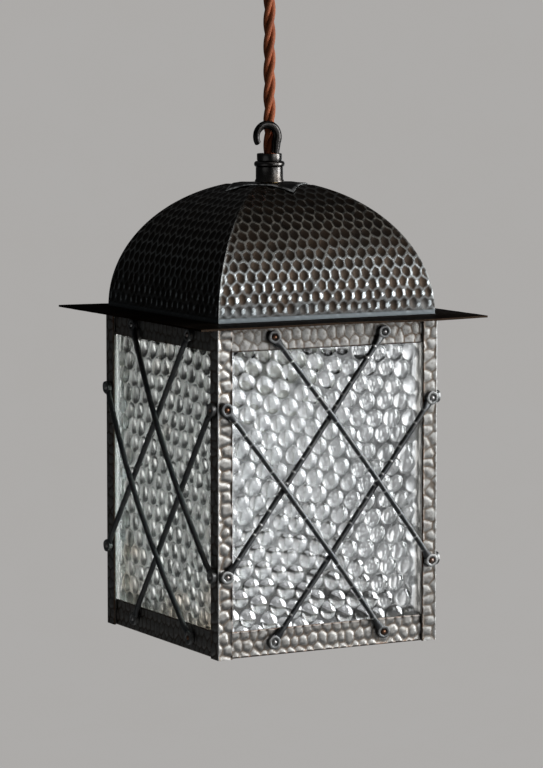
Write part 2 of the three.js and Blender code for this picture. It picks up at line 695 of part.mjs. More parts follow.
// Assembly
const lantern = new THREE.Group();
lantern.position.z = lanternBase;
FACES.forEach((face, quarter) => {
  lantern.add(
    piece(`corner_post_${CORNERS[quarter]}`, quarterTurn(cornerPost(), quarter), pewter),
    piece(`bottom_rail_${face}`, quarterTurn(rail(false), quarter), pewter),
    piece(`top_rail_${face}`, quarterTurn(rail(true), quarter), pewter),
    piece(`glass_${face}`, quarterTurn(pane(), quarter), paneGlass),
    piece(`roof_panel_${face}`, quarterTurn(roofPanel(), quarter), roofMetal),
  );
  latticeRods().forEach((rod, number) => {
    lantern.add(piece(`lattice_rod_${face}_${number + 1}`, quarterTurn(rod, quarter), blackIron));
  });
});
lantern.add(
  piece('brim', brim(), roofMetal),
  piece('cap_plate', capPlate(), roofMetal),
  piece('neck_tube', neckTube(), roofMetal),
  piece('hook_collar', hookCollar(), blackIron),
  piece('hanging_hook', hangingHook(), blackIron),
  piece('nipple', nipple(), brass),
  piece('neck_nut', hexNut(nippleBore, NUT_WALL, crownUnder - SEAT - NUT_THICKNESS, NUT_THICKNESS), brass),
  piece('flex_inner', flexLength(skirtTop + FIT, collarTop - FIT), fabric),
  piece('lampholder_cap', holderCap(), brass),
  piece('lampholder_skirt', holderSkirt(), brass),
  piece('lampholder_insert', holderInsert(), ceramic),
  piece('centre_contact', roundBar(CONTACT_RADIUS, contactTop - CONTACT_HEIGHT, contactTop), brass),
  piece('bulb_cap', bulbCap(), brass),
  piece('bulb_glass', bulbGlobe(), bulbGlass),
);

const swingLift = flexRadius * Math.sin(THREE.MathUtils.degToRad(SWING_DEG));
const part = new THREE.Group();
part.add(
  lantern,
  piece('flex_drop', flexLength(lanternBase + collarTop + FIT, swingPivot - FIT), fabric),
  piece('flex_tail', flexLength(swingPivot + swingLift + FIT, blockUnder - SEAT), fabric),
  piece('ceiling_plate', ceilingPlate(), bronze),
  piece('ceiling_cover', ceilingCover(), bronze),
  piece('cover_screw_left', coverScrew(-1), brass),
  piece('cover_screw_right', coverScrew(1), brass),
  piece('ceiling_cord_grip', cordGrip(), bronze),
  piece('ceiling_grip_nut', hexNut(
    flexBore + GRIP_STEM_WALL + FIT, NUT_WALL, coverUnder + COVER_WALL + SEAT, NUT_THICKNESS,
  ), brass),
  piece('terminal_block', terminalBlock(), blockPlastic),
);

export default part;
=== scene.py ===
"""Looks of the pendant lantern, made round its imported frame.

Shapes are in millimetres, the scene in metres.
"""

import json
import math

import bmesh
import bpy
import numpy as np
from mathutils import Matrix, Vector


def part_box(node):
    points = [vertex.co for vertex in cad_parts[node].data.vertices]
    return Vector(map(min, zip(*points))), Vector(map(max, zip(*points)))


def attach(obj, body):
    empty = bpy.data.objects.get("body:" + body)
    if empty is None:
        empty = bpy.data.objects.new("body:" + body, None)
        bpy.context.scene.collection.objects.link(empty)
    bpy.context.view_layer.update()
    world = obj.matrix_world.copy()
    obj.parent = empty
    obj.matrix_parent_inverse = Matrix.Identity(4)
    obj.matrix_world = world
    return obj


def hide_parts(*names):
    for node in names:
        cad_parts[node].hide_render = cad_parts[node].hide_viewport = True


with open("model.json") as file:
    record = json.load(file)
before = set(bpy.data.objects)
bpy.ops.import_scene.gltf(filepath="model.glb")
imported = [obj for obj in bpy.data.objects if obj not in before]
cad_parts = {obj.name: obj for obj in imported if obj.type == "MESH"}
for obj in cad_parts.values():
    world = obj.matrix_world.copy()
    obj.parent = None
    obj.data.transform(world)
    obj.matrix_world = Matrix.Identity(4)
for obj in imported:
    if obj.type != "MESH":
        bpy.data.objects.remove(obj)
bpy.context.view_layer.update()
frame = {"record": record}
scene = bpy.context.scene

MM = 0.001
QUARTER = math.pi / 2

# Camera, fitted to the photograph
CAMERA_AZIMUTH, CAMERA_ELEVATION = -28.469, 6.093  # in degrees
CAMERA_DISTANCE = 1.8608
CAMERA_SIDE = 0.0011
CAMERA_HEIGHT = 0.13314  # of the point it looks at, above the foot of the body
CAMERA_LENS = 163.83

# Sizes of details that the frame's boxes don't give
FIT = 0.3  # gap between neighbouring pieces, such as a rod's eye and the sheet under it
SEAM = 0.03  # left between two roof panels at a hip
SHEET = 1.0  # thickness of the roof's sheet
CROWN_HALF = 17.0  # half of the dome's flat top
CAP_EASE = 0.7  # the cap bends down this far outside the crown
CAP_GAP = 0.06  # between the crown and the cap
CAP_SHEET = 0.6
BORE = 5.3  # radius of the holes that the nipple passes through
FLEX_BORE = 3.8  # and of those that the flex passes through
COVER_HOLE = 6.3  # and of the one in the ceiling cover
NECK_BEAD = 0.9  # the ring stands out this far from the neck
RAIL_LIP = 8.0  # height of the lip behind the glass
POST_SHEET = 1.2
ROD_RADIUS = 1.6
ROD_WEAR = 0.18  # taken off the bars by forging
EYE_RADIUS = 3.5
EYE_THICKNESS = 2.4
EYE_DIP = 0.9  # round the rivet
RIVET_RADIUS = 1.35
BARB_STEP = 8.0  # between the small barbs along a rod
BARB_LENGTH, BARB_HEIGHT = 0.42, 0.34  # the height as a share of the bar's radius
CORE_RADIUS = 1.55  # of one core of the flex
CORE_OFFSET = 1.7  # of a core's middle from the flex's middle
FLEX_LAY = 39.0  # height of one full twist
CORE_UP = (0.3, 0.95, 0.05)  # a direction that no core runs along
TOWARDS_FRONT = (0, -1, 0)
NIPPLE_PITCH, BULB_PITCH = 1.0, 3.6
HOLDER_WALL = 1.2
LUG_HALF = 4.5  # half width of the ceiling plate's lugs
GRIP_FLARE = 17  # degrees that the cord grip's mouth opens, for the flex to swing
BRIM_RAGGED, BRIM_SAG, BRIM_GRAIN = 0.0032, 0.5, 0.06  # the first as a share of its size
BRIM_WORN = 1.6  # width of its worn edge

# How many points a shape has
ROOF_ROWS, ROOF_COLUMNS = 140, 171
RAIL_COLUMNS = 181
POST_ROWS = 246
ROD_STEPS, ROD_SIDES = 440, 16
CORE_STEP, CORE_SIDES = 0.7, 16  # the first is a length
NUT_SIDES = 72

# Hammer marks: width and height of one, and depth
ROOF_MARK, ROOF_DEPTH = (6.1, 5.7), 0.42
ROOF_SHEEN_SHIFT = 0.3  # the bright ridge colour is painted this far to one side of the ridges, a painted highlight on their left flanks
RAIL_MARK, RAIL_DEPTH = (5.4, 6.2), 0.40
POST_MARK, POST_DEPTH = (7.2, 5.6), 0.5
PEBBLE = (0.62, 0.70)  # reach of a raised mark, as shares of its width and height
PANE_MARK, PANE_DEPTH = (10.2, 8.7), 1.6
PANE_GRID = 0.5  # between the points of a pane
PANE_MARGIN = 3.2  # plain strip of glass beside the posts
BASE_BAND = 2.0  # plain strip along the foot of the dome
HIP_PLAIN = 2.2  # marks fade out this near a hip

# Lengths up a roof panel from its foot, at which a look starts and is full
BARS_FADE, SHEEN_FADE, HIP_FADE, PALE_FADE = (36, 10), (52, 10), (75, 25), (11, 4)

FACES = ["front", "right", "back", "left"]
CORNERS = ["front_left", "front_right", "back_right", "back_left"]
PANE_GRIME_AND_SHADE = [0.1, 0.4, 0.1, 1.3]  # grime of the panes in the order of the faces; the left pane's large value also darkens it as painted shade
PANE_FROST = [0.05, 0.38, 0.38, 0.11]
PANE_RELIEF = [1.0, 0.7, 0.7, 1.0]


# Sizes read from the frame


def node_box(node):
    """Lowest and highest corners of a node, in millimetres."""
    low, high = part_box(node)
    return np.array(low) / MM, np.array(high) / MM


def round_sizes(node):
    """Radius, foot and top of a turned node."""
    low, high = node_box(node)
    return high[0], low[2], high[2]


post_low, post_high = node_box("corner_post_front_left")
rail_low, rail_high = node_box("bottom_rail_front")
pane_low, pane_high = node_box("glass_front")
brim_low, brim_high = node_box("brim")
roof_low, roof_high = node_box("roof_panel_front")
neck_low, neck_high = node_box("neck_tube")
collar_low, collar_high = node_box("hook_collar")
hook_low, hook_high = node_box("hanging_hook")
drop_low, drop_high = node_box("flex_drop")
body_half = -post_low[0]
body_foot = post_low[2]
body_height = post_high[2] - body_foot
post_flange = post_high[0] - post_low[0]
rail_face = -rail_low[1]
rail_back = -rail_high[1]
rail_height = rail_high[2] - rail_low[2]
roof_half = -roof_low[1]
roof_base = roof_low[2]
crown_height = roof_high[2] - roof_base
roof_rise = crown_height / math.sqrt(1 - (CROWN_HALF / roof_half) ** 2)

node_body = {node: body for body, nodes in frame["record"]["behaviour"]["bodies"].items() for node in nodes}


# Camera, and how it and the lamps are aimed


def direction(azimuth, elevation):
    """Away from the lantern, at an azimuth from the front towards the right and an elevation in degrees."""
    turn, lift = math.radians(azimuth), math.radians(elevation)
    return Vector((math.sin(turn) * math.cos(lift), -math.cos(turn) * math.cos(lift), math.sin(lift)))


def aimed(data, target, away, distance):
    """A camera or a lamp that faces a point from a distance."""
    item = bpy.data.objects.new(data.name, data)
    item.location = target + away * distance
    item.rotation_mode = "QUATERNION"
    item.rotation_quaternion = (-away).to_track_quat("-Z", "Y")
    scene.collection.objects.link(item)
    return item


def make_camera():
    data = bpy.data.cameras.new("camera")
    data.lens = CAMERA_LENS
    aside = direction(CAMERA_AZIMUTH + 90, 0) * CAMERA_SIDE
    target = aside + Vector((0, 0, body_foot * MM + CAMERA_HEIGHT))
    scene.camera = aimed(data, target, direction(CAMERA_AZIMUTH, CAMERA_ELEVATION), CAMERA_DISTANCE)


# Mesh building


class Shape:
    """Vertices in millimetres, faces, and values kept at the vertices. Values that run short end in zeros."""

    def __init__(self, vertices, faces, **values):
        self.vertices = np.asarray(vertices, float).reshape(-1, 3)
        self.faces = [list(face) for face in faces]
        self.values = {}
        for name, value in values.items():
            self.values[name] = np.pad(np.ravel(value), (0, len(self.vertices) - np.size(value)))

    def moved(self, x=0, y=0, z=0):
        self.vertices = self.vertices + np.array([x, y, z])
        return self

    def turned(self, quarter):
        """Turned about the lantern's axis by quarter turns."""
        angle = quarter * QUARTER
        cosine, sine = round(math.cos(angle)), round(math.sin(angle))
        x, y, z = self.vertices.T
        self.vertices = np.stack([cosine * x - sine * y, sine * x + cosine * y, z], 1)
        return self

    def facing_front(self):
        """A shape along Z now points along -Y."""
        x, y, z = self.vertices.T
        self.vertices = np.stack([x, -z, y], 1)
        return self

    def along_x(self, side):
        """A shape along Z now points along X, to that side."""
        x, y, z = self.vertices.T
        self.vertices = np.stack([side * z, y, x], 1)
        return self


def merged(*shapes):
    """One shape of several. Values that a shape lacks are 0 there."""
    names = {name for shape in shapes for name in shape.values}
    faces, start = [], 0
    for shape in shapes:
        faces += [[corner + start for corner in face] for face in shape.faces]
        start += len(shape.vertices)
    values = {
        name: np.concatenate([shape.values.get(name, np.zeros(len(shape.vertices))) for shape in shapes])
        for name in names
    }
    return Shape(np.concatenate([shape.vertices for shape in shapes]), faces, **values)


def grid_faces(rows, columns, wrap_rows=False, wrap_columns=False):
    index = np.arange(rows * columns).reshape(rows, columns)
    if wrap_rows:
        index = np.concatenate([index, index[:1]])
    if wrap_columns:
        index = np.concatenate([index, index[:, :1]], axis=1)
    return np.stack([index[:-1, :-1], index[:-1, 1:], index[1:, 1:], index[1:, :-1]], -1).reshape(-1, 4)


def thickened(top, bottom, faces, **values):
    """A closed sheet: faces over the top points, the same turned over below, and walls round the edges."""
    count = len(top)
    edges = np.concatenate([faces[:, [i, (i + 1) % 4]] for i in range(4)])
    ahead = edges[:, 0] * count + edges[:, 1]
    behind = edges[:, 1] * count + edges[:, 0]
    rim = edges[~np.isin(ahead, behind)]
    walls = np.stack([rim[:, 1], rim[:, 0], rim[:, 0] + count, rim[:, 1] + count], 1)
    faces = np.concatenate([faces, faces[:, ::-1] + count, walls])
    return Shape(np.concatenate([top, bottom]), faces, **values)


def stacked(rings, **values):
    """A closed block through rings that have as many points each."""
    rings = np.asarray(rings, float)
    levels, count = rings.shape[:2]
    last = (levels - 1) * count
    faces = grid_faces(levels, count, wrap_columns=True).tolist()
    faces += [list(range(count)), list(range(last, last + count))]
    return Shape(rings, faces, **values)


def turn_angles(count):
    """Angles of points spread evenly round a circle."""
    return np.arange(count) * 2 * math.pi / count


def lathe(profile, sides=48, closed=False, radial=None):
    """A turned shape about Z from radii and heights. radial(angle, height) adds to the radius."""
    profile = np.asarray(profile, float)
    angle = turn_angles(sides)
    radius, height = (profile[:, [i]] + 0 * angle for i in (0, 1))
    if radial is not None:
        radius = np.where(radius > 0, radius + radial(angle[None, :], height), 0)
    points = np.stack([radius * np.cos(angle), radius * np.sin(angle), height], -1)
    return Shape(points, grid_faces(len(profile), sides, wrap_rows=closed, wrap_columns=True))


def eased(profile, ease, closed=False):
    """The outline with each corner cut by a small arc."""
    points = np.asarray(profile, float)
    count = len(points)
    out = []
    for i, point in enumerate(points):
        if not closed and i in (0, count - 1):
            out.append(point)
            continue
        before, after = points[i - 1] - point, points[(i + 1) % count] - point
        reach = min(ease, 0.45 * np.linalg.norm(before), 0.45 * np.linalg.norm(after))
        start = point + before / np.linalg.norm(before) * reach
        end = point + after / np.linalg.norm(after) * reach
        for share in (0, 0.5, 1):
            out.append((1 - share) ** 2 * start + 2 * share * (1 - share) * point + share ** 2 * end)
    return np.array(out)


def round_arc(middle, size, start, end, count):
    """Points on a circle or an ellipse with those half sizes, from one angle to another."""
    turn = np.linspace(start, end, count)
    return list(zip(middle[0] + size[0] * np.cos(turn), middle[1] + size[1] * np.sin(turn)))


def swept(path, wide, deep, sides, up, corner=2.0):
    """A bar along a path, with half sizes at each point, or at each point and side.

    A corner of 2 is round, and a larger one is squarer.
    """
    path = np.asarray(path, float)
    along = np.gradient(path, axis=0)
    along /= np.linalg.norm(along, axis=1, keepdims=True)
    side = np.cross(along, np.asarray(up, float))
    side /= np.linalg.norm(side, axis=1, keepdims=True)
    over = np.cross(side, along)
    angle = turn_angles(sides)
    wide = np.broadcast_to(np.reshape(wide, (len(path), -1)), (len(path), sides))
    deep = np.broadcast_to(np.reshape(deep, (len(path), -1)), (len(path), sides))
    square = (np.abs(np.cos(angle)) ** corner + np.abs(np.sin(angle)) ** corner) ** (-1 / corner)
    points = (
        path[:, None]
        + side[:, None] * (wide * square * np.cos(angle))[..., None]
        + over[:, None] * (deep * square * np.sin(angle))[..., None]
    )
    return stacked(points)


def mesh_of(name, shape, sharp_degrees=40):
    mesh = bpy.data.meshes.new(name)
    mesh.from_pydata((shape.vertices * MM).tolist(), [], shape.faces)
    for key, value in shape.values.items():
        mesh.attributes.new(key, "FLOAT", "POINT").data.foreach_set("value", np.asarray(value, np.float32))
    work = bmesh.new()
    work.from_mesh(mesh)
    bmesh.ops.remove_doubles(work, verts=work.verts, dist=1e-6)
    bmesh.ops.recalc_face_normals(work, faces=work.faces)
    work.to_mesh(mesh)
    work.free()
    mesh.shade_smooth()
    mesh.set_sharp_from_angle(angle=math.radians(sharp_degrees))
    return mesh


def dress(node, shape, material, sharp_degrees=40):
    """The piece that stands for a node, on the node's body and with its slot."""
    piece = bpy.data.objects.new(f"{node}_look", mesh_of(node, shape, sharp_degrees))
    piece.data.materials.append(material)
    scene.collection.objects.link(piece)
    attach(piece, node_body[node])
    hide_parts(node)
    return piece


# Hammer marks


def waves(rng, count, *axes):
    """Smooth random values from about -1 to 1 over axes given in radians."""
    total = 0
    for _ in range(count):
        phase = rng.uniform(0, 2 * math.pi)
        total = total + np.sin(sum(rng.normal(0, 1) * axis for axis in axes) + phase)
    return total / count


def hammer_marks(u, v, mark, seed, reach=(0.46, 0.56), stagger=0.5, jitter=0.12, ease=26.0):
    """How far points of a sheet lie from the nearest mark, 1 being its rim, how much farther the next mark
    is, and how level the line between the two marks is."""
    rng = np.random.default_rng(seed)
    points = np.stack([np.ravel(u) / mark[0], np.ravel(v) / mark[1]], 1)
    low, high = points.min(0) - 2, points.max(0) + 2
    columns, rows = np.arange(math.floor(low[0]), high[0]), np.arange(math.floor(low[1]), high[1])
    across, up = np.meshgrid(columns, rows)
    across = across + stagger * (np.arange(len(rows)) % 2)[:, None]
    seeds = np.stack([across, up], -1).reshape(-1, 2)
    seeds = seeds + rng.normal(0, jitter, seeds.shape)
    size = rng.uniform(0.92, 1.12, len(seeds))
    found = []
    for part in np.array_split(points, max(1, len(points) // 4000)):
        square = (((part[:, None] - seeds) / np.array(reach)) ** 2).sum(-1) * size
        nearest = np.argpartition(square, 3, axis=1)[:, :3]
        order = np.argsort(np.take_along_axis(square, nearest, 1), axis=1)
        nearest = np.take_along_axis(nearest, order, 1)
        near = np.take_along_axis(square, nearest, 1)
        away = np.sqrt(np.maximum(-np.log(np.exp(-ease * near).sum(1)) / ease, 0))
        gap = np.sqrt(near[:, 1]) - np.sqrt(near[:, 0])
        span = np.abs(seeds[nearest[:, 1]] - seeds[nearest[:, 0]]) * mark
        found.append(np.stack([away, gap, span[:, 0] / np.hypot(*span.T)]))
    return np.concatenate(found, axis=1).reshape(3, *np.shape(u))


def smooth_step(value, low, high):
    share = np.clip((value - low) / (high - low), 0, 1)
    return share * share * (3 - 2 * share)


# Roof


def dome_height(distance):
    across = np.maximum(distance, CROWN_HALF) / roof_half
    return roof_rise * np.sqrt(1 - across ** 2)


def faded(s, fade):
    """0 high up a panel and 1 near its foot."""
    return smooth_step(-s, -fade[0], -fade[1])


def panel_arc():
    """Distances from the axis, heights, outward directions and lengths, from a panel's foot to the bore."""
    fine = np.linspace(0, math.acos(CROWN_HALF / roof_half), 400)
    arc = np.stack([roof_half * np.cos(fine), roof_rise * np.sin(fine)], 1)
    normal = np.stack([np.cos(fine) / roof_half, np.sin(fine) / roof_rise], 1)
    normal /= np.linalg.norm(normal, axis=1, keepdims=True)
    length = np.concatenate([[0], np.cumsum(np.linalg.norm(np.diff(arc, axis=0), axis=1))])
    steps = np.linspace(0, length[-1], ROOF_ROWS)
    distance, height = (np.interp(steps, length, arc[:, i]) for i in (0, 1))
    out, up = (np.interp(steps, length, normal[:, i]) for i in (0, 1))
    flat = np.linspace(CROWN_HALF, BORE, 14)[1:]
    distance = np.concatenate([distance, flat])
    height = np.concatenate([height, np.full(len(flat), crown_height)])
    out, up = np.concatenate([out, 0 * flat]), np.concatenate([up, 0 * flat + 1])
    along = np.concatenate([steps, steps[-1] + CROWN_HALF - flat])
    return distance, height, np.stack([0 * out, -out, up], 1), along


def roof_panel(seed):
    """One curved panel with its share of the flat crown, hammered but for a strip along its foot."""
    distance, height, lean, along = panel_arc()
    half = (distance - SEAM)[:, None]
    x = np.linspace(-1, 1, ROOF_COLUMNS) * half
    s = along[:, None] + 0 * x
    hip = half - np.abs(x)
    # Colour is read from marks moved to one side: a painted highlight on the ridges' left flanks.
    sides = np.stack([x, x + ROOF_SHEEN_SHIFT])
    away, gap, level = hammer_marks(sides, np.stack([s, s]), ROOF_MARK, seed, (0.47, 0.64), jitter=0.075)
    # Near the foot the upright ridge segments are painted brighter and the slanted ones darker: a painted
    # highlight of light from the side.
    low = faded(s, BARS_FADE)
    bar = smooth_step(level[1], 0.6, 0.85)
    bowl = 1 - 0.2 * low
    net = (1 - smooth_step(gap[1], 0.12, 0.5)) * (1 - 0.72 * low * (1 - bar))
    ridge = np.maximum(net, smooth_step(away[1], bowl - 0.10, bowl) * low * (0.28 + 0.72 * bar))
    plain = smooth_step(s, BASE_BAND - 0.6, BASE_BAND + 1.0)
    inset = smooth_step(hip, 0, HIP_PLAIN)
    sink = -ROOF_DEPTH * np.clip(1 - (away[0] / bowl) ** 2, 0, 1) * plain * inset
    sheet = np.stack([x, -distance[:, None] + 0 * x, roof_base + height[:, None] + 0 * x], -1)
    outer = sheet + lean[:, None] * sink[..., None]
    inner = sheet + lean[:, None] * (sink * inset - SHEET)[..., None]
    worn = np.exp(-((hip / 0.7) ** 2)) * faded(s, HIP_FADE)
    # Pale patches of cells near the foot, a painted reflection of the light there; the plain strip along the
    # foot takes the same pale colour.
    patches = 0.5 + 0.5 * waves(np.random.default_rng(seed + 50), 5, x * 0.1, s * 0.2)
    pale = 0.25 * faded(s, PALE_FADE) * smooth_step(patches, 0.3, 0.7)
    pale = np.maximum(faded(s, (1.4 * BASE_BAND, 0.8 * BASE_BAND)), pale)
    # Near the foot the ridges take the brighter tone, a painted highlight low on the dome.
    return thickened(
        outer.reshape(-1, 3), inner.reshape(-1, 3), grid_faces(*x.shape),
        ridge=ridge * plain, edge=worn, foot=pale, rub=faded(s, SHEEN_FADE),
    )


def brim_plate():
    """A flat plate, a little uneven, with a square opening over the body."""
    rng = np.random.default_rng(11)
    half = brim_high[0]
    side = np.linspace(rail_back, half, 24)
    line = np.concatenate([-side[::-1], np.linspace(-rail_back, rail_back, 70)[1:-1], side])
    x, y = np.meshgrid(line, line)
    reach = np.maximum(np.abs(x), np.abs(y))
    outside = smooth_step(reach, roof_half, half)
    ragged = 1 - outside * BRIM_RAGGED * (1 + waves(rng, 8, x * 0.35, y * 0.35))
    sag = -BRIM_SAG * outside * (1 + waves(rng, 5, x * 0.05, y * 0.05))
    grain = BRIM_GRAIN * waves(rng, 9, x * 0.9, y * 0.9)
    middles = [np.abs(axis[:-1, :-1] + axis[1:, 1:]) / 2 for axis in (x, y)]
    faces = grid_faces(*x.shape)[(np.maximum(*middles) >= rail_back).ravel()]
    used, faces = np.unique(faces, return_inverse=True)
    bottom, top = (
        np.stack([x * ragged, y * ragged, level + (sag + grain) * outside], -1).reshape(-1, 3)[used]
        for level in (brim_low[2], brim_high[2])
    )
    worn = smooth_step(reach, half - BRIM_WORN, half - 0.2).ravel()[used]
    return thickened(top, bottom, faces.reshape(-1, 4), edge=[worn, worn])


def cap_sheet():
    """A thin square set cornerwise over the crown, with its corners bent down on the dome."""
    rng = np.random.default_rng(12)
    half = node_box("cap_plate")[1][0] / math.sqrt(2)
    line = np.linspace(-half, half, 64)
    a, b = np.meshgrid(line, line)
    rim = np.maximum(np.abs(a), np.abs(b)) / half
    ragged = 1 - 0.012 * smooth_step(rim, 0.8, 1) * (1 + waves(rng, 9, a * 0.9, b * 0.9))
    x, y = (a - b) * ragged / math.sqrt(2), (a + b) * ragged / math.sqrt(2)
    reach = np.maximum(np.abs(x), np.abs(y))
    lift = 0.15 * smooth_step(rim, 0.7, 1) * (1 + waves(rng, 6, a * 0.25, b * 0.25))
    low = roof_base + dome_height(np.maximum(reach - CAP_EASE, 0)) + CAP_GAP + lift
    faces = grid_faces(*x.shape)
    kept = np.hypot(x, y) > BORE
    faces = faces[kept.ravel()[faces].all(1)]
    used, faces = np.unique(faces, return_inverse=True)
    bottom = np.stack([x, y, low], -1).reshape(-1, 3)[used]
    turned_down = (rim > 0.985).ravel()[used]
    top = bottom + np.array([0, 0, CAP_SHEET]) * (1 - 0.3 * turned_down[:, None])
    broken = 0.4 + 0.6 * smooth_step(waves(rng, 6, a * 0.9, b * 0.9), -0.5, 0.3)
    worn = (broken * smooth_step(rim, 0.925, 0.955)).ravel()[used]
    return thickened(top, bottom, faces.reshape(-1, 4), edge=[worn, worn])


def neck():
    """A tube with a slight flare at its foot and a bead ring near its top."""
    radius, low, high = neck_high[0] - NECK_BEAD, neck_low[2], neck_high[2]
    ring = high - 3.1
    bead = round_arc((radius, ring + 1.55), (NECK_BEAD, 1.4), -1.3, 1.3, 9)
    profile = [(BORE, low), (radius + 0.5, low), (radius + 0.45, low + 0.7), (radius, low + 1.3)]
    profile += [(radius, ring), *bead, (radius - 0.1, high), (BORE, high)]
    return lathe(profile, 72, closed=True)


def collar():
    """A plug in the neck, with a head that rests on the neck's top."""
    outer, plug = collar_high[0], BORE - FIT
    foot, low, high = neck_high[2] + 0.1, collar_low[2], collar_high[2]
    profile = [(FLEX_BORE, low), (plug, low), (plug, foot), (outer, foot), (outer, high), (FLEX_BORE, high)]
    return lathe(eased(profile, 0.6, closed=True), 64, closed=True)


# Hook: its own sizes, from the middle of the collar's top
HOOK_RADIUS, HOOK_RISE, HOOK_OFFSET, HOOK_FOOT = 6.3, 9.0, 4.4, 0.7
HOOK_START, HOOK_TIP = math.radians(-25), math.radians(210)
HOOK_WIDTHS = (4.2, 5.3, 3.4)  # at its foot, at its belly and at its tip
HOOK_DEPTH = 1.6  # half of the bar's size from front to back
HOOK_SIDES = 20


def hook():
    """An open loop forged from one bar, on a short stem that stands on the collar."""
    rng = np.random.default_rng(13)
    bend, tip = np.linspace(HOOK_START, HOOK_TIP, 60), np.linspace(0, 1, 9)[1:]
    turn = np.concatenate([bend, HOOK_TIP + tip * 0.14])
    x = np.concatenate([[HOOK_FOOT], -HOOK_OFFSET + HOOK_RADIUS * np.cos(turn)])
    y = np.full(len(x), (hook_low[1] + hook_high[1]) / 2)
    z = np.concatenate([[0.15], HOOK_RISE + HOOK_RADIUS * np.sin(turn)])
    foot, belly, end = HOOK_WIDTHS
    rounded = np.sqrt(1.02 - tip ** 2)
    width = np.concatenate([[foot], belly + (end - belly) * np.linspace(0, 1, len(bend)), end * rounded])
    depth = np.concatenate([np.full(1 + len(bend), HOOK_DEPTH), HOOK_DEPTH * rounded])
    step = np.arange(len(x))[:, None] * 0.35
    around = turn_angles(HOOK_SIDES)[None, :]
    rough = 1 + 0.025 * waves(rng, 7, step, np.cos(around) * 2, np.sin(around) * 2)
    path = np.stack([x, y, z + collar_high[2]], 1)
    return swept(path, width[:, None] / 2 * rough, depth[:, None] * rough, HOOK_SIDES, TOWARDS_FRONT)


# Body


def rail(flip, depth, seed):
    """A folded channel, mitred at its ends: a hammered face, a foot under the glass and a lip behind it."""
    inside, lip = rail_face - SHEET, rail_back + SHEET
    face = np.linspace(0.5, rail_height - 0.3, 21)
    outline = [(rail_face - 0.35, 0.1), *[(rail_face, z) for z in face], (rail_face - 0.25, rail_height)]
    outline += [(inside, rail_height), (inside, SHEET), (lip, SHEET), (lip, RAIL_LIP)]
    outline += [(rail_back, RAIL_LIP), (rail_back, 0)]
    out, rise = np.array(outline).T[..., None]
    drop = rail_height - rise
    x = np.linspace(-1, 1, RAIL_COLUMNS) * (out - 0.2)
    z = rise + 0 * x
    row = np.arange(len(outline))[:, None]
    on_face = (row > 0) & (row <= len(face))
    folded = row >= len(face) + 2
    gap = hammer_marks(x, z, RAIL_MARK, seed, PEBBLE, jitter=0.15)[1]
    fade = on_face * smooth_step(rise, 0.2, 1.6) * smooth_step(drop, 0.2, 1.4)
    sink = depth * (1 - smooth_step(gap, 0, 0.9)) * fade
    # The folded foot and lip behind the glass are painted bright, standing for light that falls on them
    # through the glass.
    ridge = np.where(folded, 0.8, smooth_step(gap, 0.02, 0.3) * on_face)
    rim = on_face * (1 - smooth_step(rise, 0.4, 1.3) * smooth_step(drop, 0.4, 1.1))
    points = np.stack([x, sink - out, body_foot + (body_height - z if flip else z)], -1)
    faces = grid_faces(*x.shape, wrap_rows=True).tolist()
    ends = np.arange(len(outline)) * RAIL_COLUMNS
    faces += [ends.tolist(), (ends + RAIL_COLUMNS - 1).tolist()]
    return Shape(points, faces, ridge=ridge, edge=rim + 0 * x, rub=folded + 0 * x)


def corner_post(depth, seed):
    """An angle strip over a corner, hammered on both outer faces."""
    inner = body_half - POST_SHEET
    flange = body_half - post_flange
    run = np.linspace(0.35, post_flange - 0.25, 13)
    left = [(-body_half, -body_half + t, t, 1) for t in run[::-1]]
    front = [(-body_half + t, -body_half, t, 2) for t in run]
    corner = -body_half + 0.1
    outline = [(-body_half + 0.25, -flange, post_flange, 0), *left, (corner, corner, 0, 0)]
    outline += [*front, (-flange, -body_half + 0.25, post_flange, 0), (-flange, -inner, post_flange, 0)]
    outline += [(-inner, -inner, 3, 0), (-inner, -flange, post_flange, 0)]
    z = np.linspace(0, body_height, POST_ROWS)[:, None] + np.zeros(len(outline))
    x, y, across, face = (column + 0 * z for column in np.array(outline).T)
    ends = smooth_step(z, 0, 1.4) * smooth_step(-z, -body_height, 1.4 - body_height)
    sides = smooth_step(across, 0.3, 1.5) * smooth_step(-across, -post_flange + 0.1, -post_flange + 1.3)
    ridge = np.zeros_like(z)
    for number, axis in ((1, x), (2, y)):
        on = face[0] == number
        middle = across[:, on] - post_flange / 2
        gap = hammer_marks(middle, z[:, on], POST_MARK, seed + number, PEBBLE, 0.25, 0.17)[1]
        axis[:, on] += depth * (1 - smooth_step(gap, 0, 0.9)) * (ends * sides)[:, on]
        ridge[:, on] = smooth_step(gap, 0.03, 0.34)
    inside = np.arange(len(outline)) >= len(outline) - 3
    # The corner arris and the faces inside take the bright tone: a painted highlight along the corner, and
    # painted light on the inner faces.
    arris = np.where(inside, 1, 1 - smooth_step(across, 0.35, 1.0))
    rim = smooth_step(across, post_flange - 0.9, post_flange - 0.3) * ~inside
    points = np.stack([x, y, body_foot + z], -1)
    return stacked(points, ridge=np.maximum(ridge, arris), edge=rim, rub=arris)


